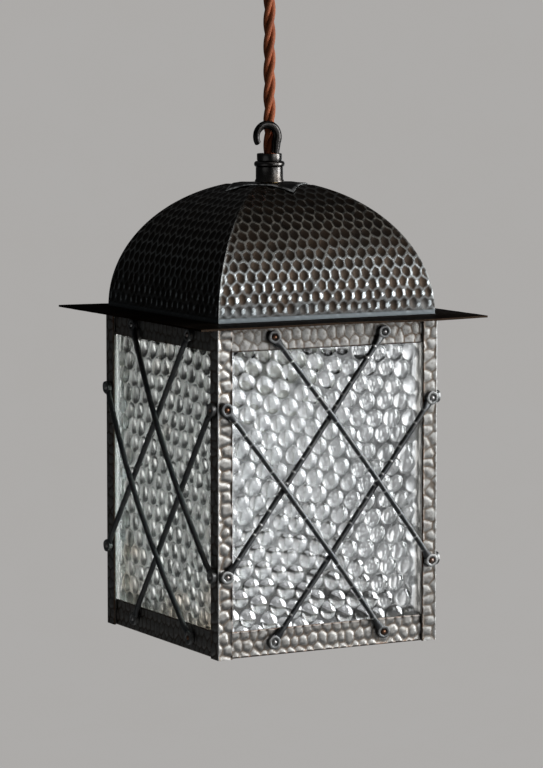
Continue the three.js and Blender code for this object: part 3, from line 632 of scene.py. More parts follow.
def pane(seed, relief):
    """Rolled glass: flat inside, with staggered rounded bosses outside."""
    low, high = pane_low, pane_high
    columns, rows = (round((high[i] - low[i]) / PANE_GRID) for i in (0, 2))
    x, z = np.meshgrid(np.linspace(low[0], high[0], columns), np.linspace(low[2], high[2], rows))
    drift = 3.0 * np.sin(z / 24 + seed) - 0.13 * z
    lift = 3.0 * np.sin(x / 28 + 2 * seed) + 0.1 * x
    away = hammer_marks(x + drift, z + lift, PANE_MARK, seed, (0.49, 0.57), jitter=0.07, ease=90.0)[0]
    rise = np.minimum(away, 1) ** 2
    bared = body_half - post_flange - x
    ends = np.minimum(smooth_step(z - low[2], 0, 1.5), smooth_step(high[2] - z, 0, 1.5))
    edge = np.minimum(smooth_step(bared, 0.6 * PANE_MARGIN, 1.4 * PANE_MARGIN), ends)
    # A clearer strip along one side edge, kept plain, stands in for a bright line of light there.
    wiped = 1 - smooth_step(2 * (body_half - post_flange) - bared, 0.5 * PANE_MARGIN, PANE_MARGIN)
    edge = edge * (1 - wiped)
    y = low[1] + relief * PANE_DEPTH * (0.75 * rise + 0.25 * rise ** 2) * edge
    index = np.arange(x.size).reshape(x.shape)
    rim = np.concatenate([index[0, :-1], index[:-1, -1], index[-1, :0:-1], index[:0:-1, 0]])
    behind = x.size + np.arange(len(rim))
    walls = np.stack([rim, np.roll(rim, -1), np.roll(behind, -1), behind], 1)
    outer = np.stack([x, y, z], -1).reshape(-1, 3)
    inner = outer[rim] * np.array([1, 0, 1]) + np.array([0, high[1], 0])
    faces = grid_faces(*x.shape).tolist() + walls.tolist() + [behind.tolist()]
    # A strip beside the posts is made darker and browner.
    dark_margin = 1 - smooth_step(bared, 0.7 * PANE_MARGIN, 1.3 * PANE_MARGIN)
    # The valleys between the bosses are painted dark, a painted shade.
    valley = smooth_step(away, 0.90, 0.98) * edge
    points = np.concatenate([outer, inner])
    inside = np.arange(len(points)) >= x.size
    return Shape(points, faces, margin=dark_margin, valley=valley, wiped=wiped, inner=inside)


# Lattice guards


def eye_and_rivet(x, face, z, seed):
    """A flattened eye on the sheet, with the rivet's round head in it."""
    rng = np.random.default_rng(seed)
    low, high = FIT, FIT + EYE_THICKNESS
    seat = high - EYE_DIP
    outline = [
        (0, low), (EYE_RADIUS, low), (EYE_RADIUS, high),
        (RIVET_RADIUS + 0.55, high), (RIVET_RADIUS + 0.35, seat), (0, seat),
    ]
    lumps = rng.uniform(0, 6.28, 3)

    def uneven(angle, _height):
        return 0.13 * np.sin(2 * angle + lumps[0]) + 0.08 * np.sin(5 * angle + lumps[1])

    eye = lathe(eased(outline, 0.4), 32, radial=uneven)
    eye.values = {"edge": np.full(len(eye.vertices), rng.uniform(0.04, 0.30))}
    dome = round_arc((0, high - 0.7), (RIVET_RADIUS, 1.1), 0, QUARTER, 7)
    head = lathe([(0, high - 1.1), (RIVET_RADIUS, high - 1.1), *dome], 24)
    head.values = {"rivet": np.ones(len(head.vertices))}
    return merged(eye, head).facing_front().moved(x, -face, z)


def lattice_rod(start, end, bow, seed):
    """A round bar, a little uneven from forging, drawn out flat into an eye at each end."""
    rng = np.random.default_rng(seed)
    (x0, face0, z0), (x1, face1, z1) = start, end
    length = math.hypot(x1 - x0, z1 - z0)
    run = np.linspace(EYE_RADIUS * 0.6, length - EYE_RADIUS * 0.6, ROD_STEPS)
    share = run / length
    near = np.minimum(run, length - run)
    flat = 1 - smooth_step(near, EYE_RADIUS * 0.6, EYE_RADIUS + 5)
    deep = ROD_RADIUS - ROD_WEAR + (EYE_THICKNESS / 2 - 0.15 - ROD_RADIUS + ROD_WEAR) * flat
    wide = ROD_RADIUS - ROD_WEAR + 0.9 * flat
    x, z = x0 + (x1 - x0) * share, z0 + (z1 - z0) * share
    y = -(face0 + (face1 - face0) * share) - FIT - deep - bow * np.sin(math.pi * share)
    bend = 0.22 * (1 - flat)
    x = x + bend * waves(rng, 4, run * 0.12)
    around = turn_angles(ROD_SIDES)[None, :]
    rough = 1 + 0.035 * waves(rng, 8, run[:, None] * 1.1, np.cos(around) * 1.5, np.sin(around) * 1.5)
    barb = np.zeros((ROD_STEPS, ROD_SIDES))
    for middle in np.arange(BARB_STEP, length - BARB_STEP / 2, BARB_STEP):
        at, angle = middle + rng.normal(0, 0.8), rng.uniform(-0.6, 0.9)
        along = np.exp(-(((run - at) / BARB_LENGTH) ** 2))
        barb = barb + along[:, None] * np.exp(4.0 * (np.cos(around - angle) - 1))
    rough = rough + BARB_HEIGHT * barb
    path = np.stack([x, y, z], 1)
    bar = swept(path, wide[:, None] * rough, deep[:, None] * rough, ROD_SIDES, TOWARDS_FRONT, corner=2.2)
    # the barbs are painted near-white, a painted glint on each
    bar.values = {"edge": np.clip(1.6 * barb, 0, 1.6).ravel()}
    return merged(bar, eye_and_rivet(x0, face0, z0, seed + 500), eye_and_rivet(x1, face1, z1, seed + 900))


def lattice_rods(seed):
    """Four rods of one face. The first two bow out over the other two where they cross."""
    rail_x, rail_z = body_half / 2, rail_height / 2
    post_x, post_z = body_half - post_flange / 2, body_height / 4
    top, upper = body_foot + body_height - rail_z, body_foot + body_height - post_z
    low, lower = body_foot + rail_z, body_foot + post_z
    middle = math.sin(math.pi * rail_x / (rail_x + post_x))
    side = math.sin(math.pi * (body_height / 2 - rail_z) / (body_height - rail_z - post_z))
    bow = (2 * ROD_RADIUS + FIT) / min(middle, side)
    ends = [
        ((-rail_x, rail_face, top), (post_x, body_half, lower), bow),
        ((-post_x, body_half, upper), (rail_x, rail_face, low), bow),
        ((rail_x, rail_face, top), (-post_x, body_half, lower), 0),
        ((post_x, body_half, upper), (-rail_x, rail_face, low), 0),
    ]
    return [lattice_rod(*rod, seed + number) for number, rod in enumerate(ends)]


# Flex


def twisted_flex(low, high):
    """Three covered cores twisted together, from one height to another."""
    count = max(8, round((high - low) / CORE_STEP))
    z = np.linspace(low, high, count)
    radius = np.full(count, CORE_RADIUS)
    cores = []
    for core in range(3):
        angle = 2 * math.pi * (z / FLEX_LAY + core / 3)
        path = np.stack([CORE_OFFSET * np.cos(angle), CORE_OFFSET * np.sin(angle), z], 1)
        cores.append(swept(path, radius, radius, CORE_SIDES, CORE_UP))
    return merged(*cores)


# Lampholder, bulb and neck fittings


def threaded(profile, first, last, pitch, depth, sides, closed=False):
    """A turned shape with a round screw thread on its rows from first up to last."""
    row = np.arange(len(profile))[:, None]
    cut = depth * ((row >= first) & (row < last))

    def screw(angle, height):
        return cut * np.sin(2 * math.pi * height / pitch - angle)

    return lathe(profile, sides, closed, screw)


def hex_nut(node, bore):
    """A hexagon with chamfered corners, drilled through."""
    low, high = node_box(node)
    flat = high[1]
    angle = turn_angles(NUT_SIDES)
    hexagon = flat / np.cos((angle % (math.pi / 3)) - math.pi / 6)
    chamfer = np.minimum(hexagon, flat * 1.06)
    hole = np.full(NUT_SIDES, bore)
    rings = [
        (chamfer, low[2]), (hexagon, low[2] + 0.5), (hexagon, high[2] - 0.5), (chamfer, high[2]),
        (hole, high[2]), (hole, low[2]),
    ]
    points = [np.stack([ring * np.cos(angle), ring * np.sin(angle), 0 * angle + z], 1) for ring, z in rings]
    return Shape(points, grid_faces(len(rings), NUT_SIDES, wrap_rows=True, wrap_columns=True))


def nipple_tube():
    """A tube threaded from end to end."""
    radius, foot, top = round_sizes("nipple")
    outer = [(radius - 0.25, z) for z in np.linspace(foot, top, 150)]
    profile = [(FLEX_BORE, foot), *outer, (FLEX_BORE, top)]
    return threaded(profile, 1, len(profile) - 1, NIPPLE_PITCH, 0.2, 40, closed=True)


def holder_cap():
    outer, foot, top = round_sizes("lampholder_cap")
    boss, groove, inside = BORE + 1.6, outer - 0.5, outer - HOLDER_WALL
    profile = [
        (BORE, top), (boss, top), (boss, top - 4.6), (boss + 1.2, top - 5.2), (outer - 2.2, foot + 6),
        (outer - 0.3, foot + 4.4), (outer, foot + 3.4), (outer, foot + 2.4), (groove, foot + 2.1),
        (groove, foot + 1.5), (outer, foot + 1.2), (outer, foot), (inside, foot), (inside, foot + 3.4),
        (boss - 0.6, top - 6.2), (BORE, top - 6.2),
    ]
    return lathe(eased(profile, 0.35, closed=True), 72, closed=True)


def holder_skirt():
    """A plain tube with rolled beads and a rolled lower edge."""
    rim, foot, top = round_sizes("lampholder_skirt")
    roll, outer = HOLDER_WALL, rim - HOLDER_WALL
    beads = []
    for z in np.arange(foot + 6, top - 4, 3.0):
        beads += [(outer, z - 1.0), (outer - 0.35, z - 0.4), (outer - 0.35, z + 0.4), (outer, z + 1.0)]
    lip = round_arc((outer, foot + roll), (roll, roll), -1.4, 1.4, 9)
    profile = [(outer - roll, foot), *lip, *beads, (outer, top), (outer - roll, top)]
    return lathe(profile, 72, closed=True)


def holder_insert():
    outer, foot, top = round_sizes("lampholder_insert")
    bore, ledge = outer - 2.5, top - 6
    profile = [(0, top), (outer, top), (outer, foot), (bore + 0.5, foot)]
    first = len(profile)
    profile += [(bore + 0.2, z) for z in np.linspace(foot + 0.6, ledge - 0.6, 60)]
    last = len(profile)
    profile += [(bore, ledge), (0, ledge)]
    return threaded(profile, first, last, BULB_PITCH, 0.3, 56)


def contact():
    """A pin with a rounded lower end."""
    radius, foot, top = round_sizes("centre_contact")
    tip = round_arc((0, foot + 1.2), (radius, 1.2), -QUARTER, 0, 7)
    return lathe([*tip, (radius, top), (0, top)], 32)


def bulb_cap():
    """A screw cap with a rolled thread, a dark insulator and a soldered tip."""
    radius, foot, top = round_sizes("bulb_cap")
    shoulder, sides = top - 4.5, 56
    tip = round_arc((0, top - 0.9), (4, 0.9), QUARTER, 0, 6)
    profile = [*tip, (4.6, top - 1.2), (7.5, top - 2.4)]
    profile += [(radius - 1.4, shoulder + 0.6), (radius - 0.7, shoulder - 0.4)]
    first = len(profile)
    profile += [(radius - 0.55, z) for z in np.linspace(shoulder - 1.0, foot + 2.4, 70)]
    last = len(profile)
    profile += [(radius - 0.15, foot + 1.6), (radius, foot + 0.8), (radius - 0.3, foot), (0, foot)]
    shape = threaded(profile, first, last, BULB_PITCH, 0.5, sides)
    dark = np.zeros(len(profile))
    dark[len(tip):first - 1] = 1
    shape.values = {"insulator": np.repeat(dark, sides)}
    return shape


def bulb_globe():
    """A thin ball that narrows to a throat in the cap."""
    radius, foot, top = round_sizes("bulb_glass")
    centre, throat = foot + radius, 12.0

    def side(wall):
        ball, mouth = radius - wall, throat - wall
        last = math.acos(mouth / ball) * 0.86
        arc = round_arc((0, centre), (ball, ball), -QUARTER, last, 40)
        end = arc[-1]
        share = np.linspace(0, 1, 14)[1:]
        flank = [(mouth + (end[0] - mouth) * (1 - s) ** 2.2, end[1] + (top - end[1]) * s) for s in share]
        return arc + flank

    return lathe([*side(0), *side(0.8)[::-1]], 64)


# Ceiling fitting


def ceiling_plate():
    """A disc with two lugs that the cover's screws go into."""
    radius, foot, _ = round_sizes("ceiling_plate")
    under = -3.0
    parts = [lathe(eased([(0, 0), (radius, 0), (radius, under), (0, under)], 0.5), 72)]
    for side in (-1, 1):
        near, far = side * (radius - 3.4), side * (radius - 0.5)
        parts.append(stacked([
            [(near, -half, z), (far, -half, z), (far, half, z), (near, half, z)]
            for z, half in ((foot, 0.8 * LUG_HALF), (foot + 1, LUG_HALF), (under + 0.2, LUG_HALF))
        ]))
    return merged(*parts)


def ceiling_cover():
    """A bell-shaped cover: a straight band with a bead, then a rounded shoulder to a flat underside."""
    outer, under, top = round_sizes("ceiling_cover")
    wall, band, flat, hole = 1.2, 14.0, 15.0, COVER_HOLE

    def arc(inset):
        half, rise = outer - inset, (top - band - under) - inset
        last = math.acos(flat / half)
        return round_arc((0, top - band), (half, -rise / math.sin(last)), 0, last, 32)

    groove = outer - 0.45
    rolled = [(outer - 0.5, top), (outer, top - 0.5), (outer, top - 2.2)]
    rolled += [(groove, top - 2.6), (groove, top - 3.2), (outer, top - 3.6)]
    profile = [*rolled, *arc(0), (hole, under), (hole, under + wall), *arc(wall)[::-1], (outer - wall, top)]
    return lathe(profile, 96, closed=True)


def cover_screw(side, node):
    """A round-headed screw with a slot across its head."""
    low, high = node_box(node)
    reach, inner = (high[0], low[0]) if side > 0 else (-low[0], -high[0])
    radius = (high[2] - low[2]) / 2
    seat = reach - 2
    dome = round_arc((0, seat + 0.5), (radius, 1.5), 0, QUARTER, 9)
    head = lathe([(0, inner), (1.5, inner), (1.5, seat), (radius, seat), *dome], 40)
    x, y, z = head.vertices.T
    slot = (np.abs(y) < 0.42) & (z > seat + 0.7)
    head.vertices[slot, 2] = np.minimum(z[slot], seat + 0.7)
    return head.along_x(side).moved(0, 0, (low[2] + high[2]) / 2)


def cord_grip():
    """A stem through the cover, with a flange under it and a flared mouth."""
    flange, foot, top = round_sizes("ceiling_cord_grip")
    under = node_box("ceiling_cover")[0][2] - 0.1
    pivot, bore, stem = under - 2.5, FLEX_BORE, 6.0
    mouth = bore + (pivot - foot) * math.tan(math.radians(GRIP_FLARE))
    profile = [
        (bore, top), (stem, top), (stem, under), (flange, under), (flange, under - 1.6),
        (flange - 0.8, pivot), (stem + 1.6, pivot - 1.2), (mouth + 1.6, foot + 1.2),
        (mouth + 1.6, foot), (mouth, foot), (bore, pivot),
    ]
    return lathe(eased(profile, 0.4, closed=True), 64, closed=True)


def terminal_block():
    """A moulded block of three bays, joined by a bridge."""
    low, high = node_box("terminal_block")
    width = (high[0] - low[0]) / 3
    parts = []
    for bay in range(3):
        x0, x1 = low[0] + bay * width + 0.25, low[0] + (bay + 1) * width - 0.25
        outline = eased([(x0, low[1]), (x1, low[1]), (x1, high[1]), (x0, high[1])], 1.2, closed=True)
        levels = [(low[2], 0.9), (low[2] + 0.6, 1), (high[2] - 0.6, 1), (high[2], 0.9)]
        middle = np.array([(x0 + x1) / 2, (low[1] + high[1]) / 2])
        parts.append(stacked([
            [(*(middle + (point - middle) * scale), z) for point in outline] for z, scale in levels
        ]))
    bridge = eased([(low[0], -2), (high[0], -2), (high[0], 2), (low[0], 2)], 0.6, closed=True)
    parts.append(stacked([[(*point, z) for point in bridge] for z in (low[2] + 3, high[2] - 4)]))
    return merged(*parts)


# Materials


class Tree:
    """A material's nodes, made one by one."""

    def __init__(self, name):
        self.material = bpy.data.materials.new(name)
        self.material.use_nodes = True
        self.nodes = self.material.node_tree.nodes
        self.links = self.material.node_tree.links
        self.nodes.clear()
        self.output = self.nodes.new("ShaderNodeOutputMaterial")

    def add(self, kind, inputs=None, **settings):
        node = self.nodes.new(f"ShaderNode{kind}")
        for key, value in settings.items():
            setattr(node, key, value)
        for key, value in (inputs or {}).items():
            socket = node.inputs[key]
            if isinstance(value, bpy.types.NodeSocket):
                self.links.new(value, socket)
            elif socket.type == "RGBA":
                socket.default_value = (*value, 1.0)
            else:
                socket.default_value = value
        return node

    def noise(self, scale, detail=4.0, roughness=0.6, stretch=None):
        place = self.add("TexCoord").outputs["Object"]
        if stretch:
            place = self.add("Mapping", {"Vector": place, "Scale": stretch}).outputs["Vector"]
        inputs = {"Vector": place, "Scale": scale, "Detail": detail, "Roughness": roughness}
        return self.add("TexNoise", inputs).outputs["Fac"]

    def value(self, name):
        return self.add("Attribute", attribute_name=name).outputs["Fac"]

    def range(self, value, low, high, to_low=0.0, to_high=1.0):
        return self.add("MapRange", {
            "Value": value, "From Min": low, "From Max": high, "To Min": to_low, "To Max": to_high,
        }).outputs["Result"]

    def math(self, operation, a, b=0.0):
        return self.add("Math", {0: a, 1: b}, operation=operation).outputs[0]

    def plus(self, a, b):
        return self.math("ADD", a, b)

    def times(self, a, b):
        return self.math("MULTIPLY", a, b)

    def varied(self, value, noise, amount):
        """The value, up to that amount lower or higher by the noise."""
        return self.plus(value, self.range(noise, 0.3, 0.7, -amount, amount))

    def mix(self, factor, a, b):
        return self.add("Mix", {0: factor, 6: a, 7: b}, data_type="RGBA").outputs[2]

    def bump(self, height, strength, distance):
        inputs = {"Height": height, "Strength": strength, "Distance": distance}
        return self.add("Bump", inputs).outputs["Normal"]

    def metal(self, base, rough, normal, grazing=1.0):
        """The finished material of a metal. Grazing is its brightness where it is seen along its surface."""
        return self.finish(self.add("BsdfPrincipled", {
            "Base Color": base, "Metallic": 1.0, "Roughness": rough, "Normal": normal,
            "Specular Tint": (grazing, grazing, grazing),
        }))

    def finish(self, shader):
        self.links.new(shader.outputs[0], self.output.inputs["Surface"])
        return self.material


def hammered_metal(name, dark, warm, bright, tarnished, worn, shine):
    """Patina in the bowls of the hammer marks, rubbed off on the ridges and worn warm along the edges. Some
    of the bright ridge colour, the brighter of its two tones and the pale foot colour are painted highlight
    and painted reflection.
    """
    tree = Tree(name)
    cloud, grain, speck = tree.noise(70, 5), tree.noise(420, 4), tree.noise(1600, 3)
    patina = tree.mix(tree.range(cloud, 0.35, 0.68), dark, warm)
    ridge = tree.times(tree.value("ridge"), tree.range(grain, 0.3, 0.55, 0.55, 1.0))
    rubbed_and_sheen = tree.math("POWER", ridge, 1.7)
    # the brighter ridge tone is a painted highlight low on the dome and painted light on faces inside the
    # body
    base = tree.mix(rubbed_and_sheen, patina, tree.mix(tree.value("rub"), tarnished, bright))
    edge = tree.times(tree.value("edge"), tree.range(grain, 0.42, 0.6, 0.15, 1.0))
    base = tree.mix(edge, base, worn)
    # pale colour of the plain foot strip, and on patches of cells near it a painted reflection
    base = tree.mix(tree.times(tree.value("foot"), 0.75), base, (0.23, 0.26, 0.275))
    rough = tree.varied(tree.range(rubbed_and_sheen, 0, 1, *shine), speck, 0.07)
    relief = tree.plus(grain, tree.times(speck, 0.4))
    return tree.metal(base, rough, tree.bump(relief, 0.22, 0.0002))


def roof_metal():
    return hammered_metal(
        "roof_metal", (0.019, 0.0148, 0.0117), (0.034, 0.0235, 0.0165), (0.62, 0.67, 0.69),
        (0.30, 0.288, 0.262), (0.42, 0.43, 0.42), (0.44, 0.17),
    )


def pewter_metal(name, shade, roughness):
    """Tinned sheet. Shade is how much of its brightness is left; a copy with a lower shade paints shade on
    the pieces that take it.
    """
    dark, warm, bright = (0.24, 0.21, 0.18), (0.17, 0.122, 0.088), (0.80, 0.80, 0.78)
    tarnished, worn = (0.49, 0.48, 0.46), (0.15, 0.078, 0.045)
    tones = [[shade * part for part in tone] for tone in (dark, warm, bright, tarnished, worn)]
    return hammered_metal(name, *tones, (roughness + 0.06, roughness))


def plate_metal(name, dark, warm, worn, roughness, grazing=1.0):
    """Unhammered sheet or bar, brown-black, with bright broken wear along its edges."""
    tree = Tree(name)
    cloud, grain, speck = tree.noise(45, 5), tree.noise(300, 5), tree.noise(1800, 3)
    patina = tree.mix(tree.range(cloud, 0.35, 0.65), dark, warm)
    patina = tree.mix(tree.range(speck, 0.62, 0.78, 0.0, 0.5), patina, (0.16, 0.11, 0.07))
    edge = tree.times(tree.value("edge"), tree.range(grain, 0.36, 0.52, 0.1, 1.0))
    base = tree.mix(edge, patina, worn)
    rough = tree.range(cloud, 0.3, 0.7, roughness - 0.06, roughness + 0.08)
    rough = tree.varied(rough, speck, 0.05)
    relief = tree.plus(grain, tree.times(speck, 0.4))
    return tree.metal(base, rough, tree.bump(relief, 0.35, 0.0004), grazing)


def black_iron():
    tree = Tree("black_iron")
    cloud, grain, speck = tree.noise(120, 5), tree.noise(700, 4), tree.noise(2200, 2)
    base = tree.mix(tree.range(cloud, 0.4, 0.7), (0.095, 0.099, 0.103), (0.14, 0.138, 0.134))
    base = tree.mix(tree.range(speck, 0.66, 0.8, 0.0, 0.5), base, (0.18, 0.165, 0.15))
    # near-white on the barbs, a painted glint; on the eyes a lighter tone at random
    base = tree.mix(tree.value("edge"), base, (0.80, 0.80, 0.78))
    bare, coppered = (0.42, 0.41, 0.40), (0.20, 0.105, 0.065)
    head = tree.mix(tree.range(tree.noise(40, 2), 0.47, 0.56), bare, coppered)
    base = tree.mix(tree.value("rivet"), base, head)
    rough = tree.range(grain, 0.3, 0.7, 0.38, 0.48)
    rough = tree.varied(rough, speck, 0.05)
    return tree.metal(base, rough, tree.bump(grain, 0.35, 0.0002))


def plain_metal(name, dark, light, roughness):
    """Turned fittings: even metal with faint lathe lines and tarnish."""
    tree = Tree(name)
    cloud, lines = tree.noise(90, 5), tree.noise(30, 3, 0.5, stretch=(1, 1, 90))
    base = tree.mix(tree.range(cloud, 0.35, 0.65), dark, light)
    base = tree.mix(tree.value("insulator"), base, (0.012, 0.011, 0.012))
    rough = tree.range(cloud, 0.3, 0.7, roughness - 0.06, roughness + 0.1)
    rough = tree.varied(rough, lines, 0.04)
    return tree.metal(base, rough, tree.bump(lines, 0.12, 0.0001))


def lets_lamps_through(tree, glass, clear):
    """Lamps shine through the glass, so that what is inside is lit too."""
    path = tree.add("LightPath").outputs["Is Shadow Ray"]
    see = tree.add("BsdfTransparent", {"Color": clear})
    mixed = tree.add("MixShader", {0: path, 1: glass.outputs[0], 2: see.outputs[0]})
    return tree.finish(mixed)


def pane_glass(name, grime_and_shade, frost):
    """Cast glass, clear outside and ground inside, with stains that gather near its foot. The valleys between
    the bosses take painted shade, a strip beside the posts is darker, and a clearer strip stands in for a
    line of light.
    """
    tree = Tree(name)
    stain, speck = tree.noise(28, 4), tree.noise(900, 3)
    height = tree.add("SeparateXYZ", {0: tree.add("TexCoord").outputs["Object"]}).outputs["Z"]
    foot = pane_low[2] * MM
    gathered = tree.range(height, foot, foot + 0.05, 0.16, 0.0)
    stained = tree.range(tree.plus(stain, gathered), 0.56, 0.78, 0.0, 0.5 * grime_and_shade)
    clean = (0.98 - 0.27 * grime_and_shade, 0.98 - 0.27 * grime_and_shade, 0.985 - 0.30 * grime_and_shade)
    tint = tree.mix(stained, clean, (0.62, 0.46, 0.30))
    # painted shade: the valleys between the bosses are darkened
    painted_valley_shade = tree.times(tree.value("valley"), tree.range(stain, 0.35, 0.65, 0.65, 0.95))
    painted_valley_shade = tree.times(painted_valley_shade, 1 - 0.6 * grime_and_shade)
    tint = tree.mix(painted_valley_shade, tint, (0.02, 0.02, 0.02))
    # darker, browner strip beside the posts
    tint = tree.mix(tree.times(tree.value("margin"), 0.95), tint, (0.15, 0.135, 0.115))
    # a clearer strip that stands in for a bright line of light along one edge
    tint = tree.mix(tree.value("wiped"), tint, (0.97, 0.97, 0.97))
    rough = tree.range(stain, 0.45, 0.75, 0.03, 0.07)
    rough = tree.plus(rough, tree.range(speck, 0.55, 0.75, 0.0, 0.05))
    rough = tree.plus(rough, tree.range(tree.value("inner"), 0, 1, 0.08 * grime_and_shade, frost))
    glass = tree.add("BsdfPrincipled", {
        "Base Color": tint, "Roughness": rough, "IOR": 1.62, "Transmission Weight": 1.0,
        "Normal": tree.bump(speck, 0.03, 0.0001),
    })
    return lets_lamps_through(tree, glass, (0.86, 0.90, 0.89))


def bulb_glass():
    tree = Tree("bulb_glass")
    frost = tree.noise(240, 4)
    glass = tree.add("BsdfPrincipled", {
        "Base Color": tree.mix(frost, (0.94, 0.93, 0.89), (0.98, 0.97, 0.94)),
        "Roughness": tree.range(frost, 0.3, 0.7, 0.30, 0.42), "IOR": 1.45, "Transmission Weight": 0.75,
    })
    return lets_lamps_through(tree, glass, (0.9, 0.89, 0.85))


def flex_fabric():
    """Braided yarn: two crossing families of fine ribs."""
    tree = Tree("flex_fabric")
    cloud, fuzz = tree.noise(160, 4), tree.noise(2600, 3)
    place = tree.add("TexCoord").outputs["Object"]
    ribs = []
    for lean in (0.9, -0.9):
        turned = tree.add("Mapping", {"Vector": place, "Rotation": (0.4, lean, 0.3)}).outputs["Vector"]
        wave = tree.add("TexWave", {"Vector": turned, "Scale": 480.0, "Distortion": 1.5, "Detail": 1.0})
        ribs.append(wave.outputs["Fac"])
    braid = tree.math("MAXIMUM", *ribs)
    base = tree.mix(tree.range(cloud, 0.3, 0.7), (0.33, 0.074, 0.021), (0.47, 0.120, 0.034))
    # darker between the ribs of the braid, a painted shade in its grooves
    base = tree.mix(tree.range(braid, 0.2, 0.75, 0.4, 0.0), base, (0.08, 0.021, 0.009))
    relief = tree.plus(braid, tree.times(fuzz, 0.5))
    shader = tree.add("BsdfPrincipled", {
        "Base Color": base, "Roughness": tree.range(fuzz, 0.3, 0.7, 0.62, 0.8), "Sheen Weight": 0.08,
        "Sheen Roughness": 0.4, "Normal": tree.bump(relief, 0.4, 0.0002),
    })
    return tree.finish(shader)


def moulded(name, shade, fleck, roughness):
    """Glazed ceramic or moulded plastic with faint mottling."""
    tree = Tree(name)
    cloud, speck = tree.noise(110, 4), tree.noise(1500, 3)
    base = tree.mix(tree.range(cloud, 0.3, 0.75), shade, fleck)
    shader = tree.add("BsdfPrincipled", {
        "Base Color": base, "Roughness": tree.range(speck, 0.3, 0.7, roughness - 0.06, roughness + 0.08),
        "Normal": tree.bump(speck, 0.06, 0.0001),
    })
    return tree.finish(shader)


# Stage and lights

FLOOR_DROP = 0.8  # below the foot of the body
FLOOR_RADIUS = 3.4
COVE_RADIUS = 1.6
WALL_TOP = 3.2
BACKDROP = 0.42  # its own pale glow, so that it looks even from every side
IN_METAL, FLOOR_IN_METAL = 0.03, 0.14  # how bright the wall and the floor are in the metal
THROUGH_GLASS, THROUGH_WINDOW = 0.22, 2.0  # and through the glass, all round and towards the windows
THROUGH_FLOOR, THROUGH_TOP = 1.6, 0.06  # shares of the former on the floor and high up
WINDOWS = [(-4, -22), (62, 5)]  # azimuth from the back towards the right, and elevation, in degrees
WINDOW_CORE, WINDOW_RIM = 15, 25
# Pale cards for the metal of the sides that the photograph doesn't show: the same, then core, rim and glow
CARDS = [(45, -15, 14, 26, 0.7), (14, -18, 8, 22, 0.3), (-115, -12, 18, 30, 0.22)]
LAMP_HEIGHT = 0.13  # of the point that the lamps face, above the foot of the body
WORLD_GLOW = 0.05


def floor_paper():
    """Pale to the eye. In the metal and through the glass it is as bright as the values above say."""
    tree = Tree("floor_paper")
    place = tree.add("TexCoord").outputs["Object"]
    middle = (0, 0, -(body_foot + body_height / 2) * MM)
    offset = tree.add("VectorMath", {0: place, 1: middle}, operation="ADD").outputs["Vector"]
    towards = tree.add("VectorMath", {0: offset}, operation="NORMALIZE").outputs["Vector"]
    height = tree.add("SeparateXYZ", {0: towards}).outputs["Z"]

    def between(low, high, at_low, at_high):
        sines = [math.sin(math.radians(elevation)) for elevation in (low, high)]
        return tree.range(height, *sines, at_low, at_high)

    def patch(azimuth, elevation, core, rim, level):
        aim = direction(azimuth, elevation) * Vector((1, -1, 1))
        facing = tree.add("VectorMath", {0: towards, 1: aim}, operation="DOT_PRODUCT").outputs["Value"]
        return tree.range(facing, math.cos(math.radians(rim)), math.cos(math.radians(core)), 0.0, level)

    path = tree.add("LightPath").outputs
    through = tree.times(between(-30, -20, THROUGH_FLOOR, 1.0), between(3, 12, 1.0, THROUGH_TOP))
    through = tree.times(through, THROUGH_GLASS)
    for window in WINDOWS:
        through = tree.plus(through, patch(*window, WINDOW_CORE, WINDOW_RIM, THROUGH_WINDOW))
    through = tree.times(through, path["Is Transmission Ray"])
    cards = 0.0
    for card in CARDS:
        cards = tree.plus(patch(*card), cards)
    reflected = tree.math("SUBTRACT", 1.0, path["Is Transmission Ray"])
    reflected = tree.times(reflected, path["Is Glossy Ray"])
    cards = tree.times(cards, reflected)
    in_metal = tree.plus(between(-35, -22, FLOOR_IN_METAL, IN_METAL), cards)
    strength = tree.plus(through, in_metal)
    glow = tree.add("Emission", {"Color": (0.95, 0.98, 1.0), "Strength": strength}).outputs[0]
    shade = tree.mix(tree.noise(9, 6), (0.98, 0.95, 0.92), (1.0, 0.98, 0.96))
    paper = tree.add("Emission", {"Color": shade, "Strength": BACKDROP}).outputs[0]
    seen = tree.add("MixShader", {0: path["Is Camera Ray"], 1: glow, 2: paper}).outputs[0]
    back = tree.add("NewGeometry").outputs["Backfacing"]
    clear = tree.add("BsdfTransparent", {"Color": (1, 1, 1)}).outputs[0]
    return tree.finish(tree.add("MixShader", {0: back, 1: seen, 2: clear}))


def make_stage():
    """A pale round floor that curves up into a wall, seen only from inside."""
    floor = body_foot * MM - FLOOR_DROP
    profile = [(0, floor), (FLOOR_RADIUS / 2, floor), (FLOOR_RADIUS, floor)]
    profile += round_arc((FLOOR_RADIUS, floor + COVE_RADIUS), (COVE_RADIUS, COVE_RADIUS), -QUARTER, 0, 24)[1:]
    profile.append((FLOOR_RADIUS + COVE_RADIUS, floor + WALL_TOP))
    shape = lathe(np.array(profile) / MM, 96)
    mesh = bpy.data.meshes.new("floor")
    mesh.from_pydata((shape.vertices * MM).tolist(), [], [face[::-1] for face in shape.faces])
    mesh.shade_smooth()
    mesh.materials.append(floor_paper())
    stage = bpy.data.objects.new("floor", mesh)
    scene.collection.objects.link(stage)


def soft_box(name, azimuth, elevation, distance, size, radiance, tint=(1, 1, 1)):
    """A rectangular lamp that faces the lantern."""
    data = bpy.data.lights.new(name, "AREA")
    data.shape = "RECTANGLE"
    data.size, data.size_y = size
    data.energy = radiance * math.pi * size[0] * size[1]
    data.color = tint
    target = Vector((0, 0, body_foot * MM + LAMP_HEIGHT))
    lamp = aimed(data, target, direction(azimuth, elevation), distance)
    lamp.visible_camera = False


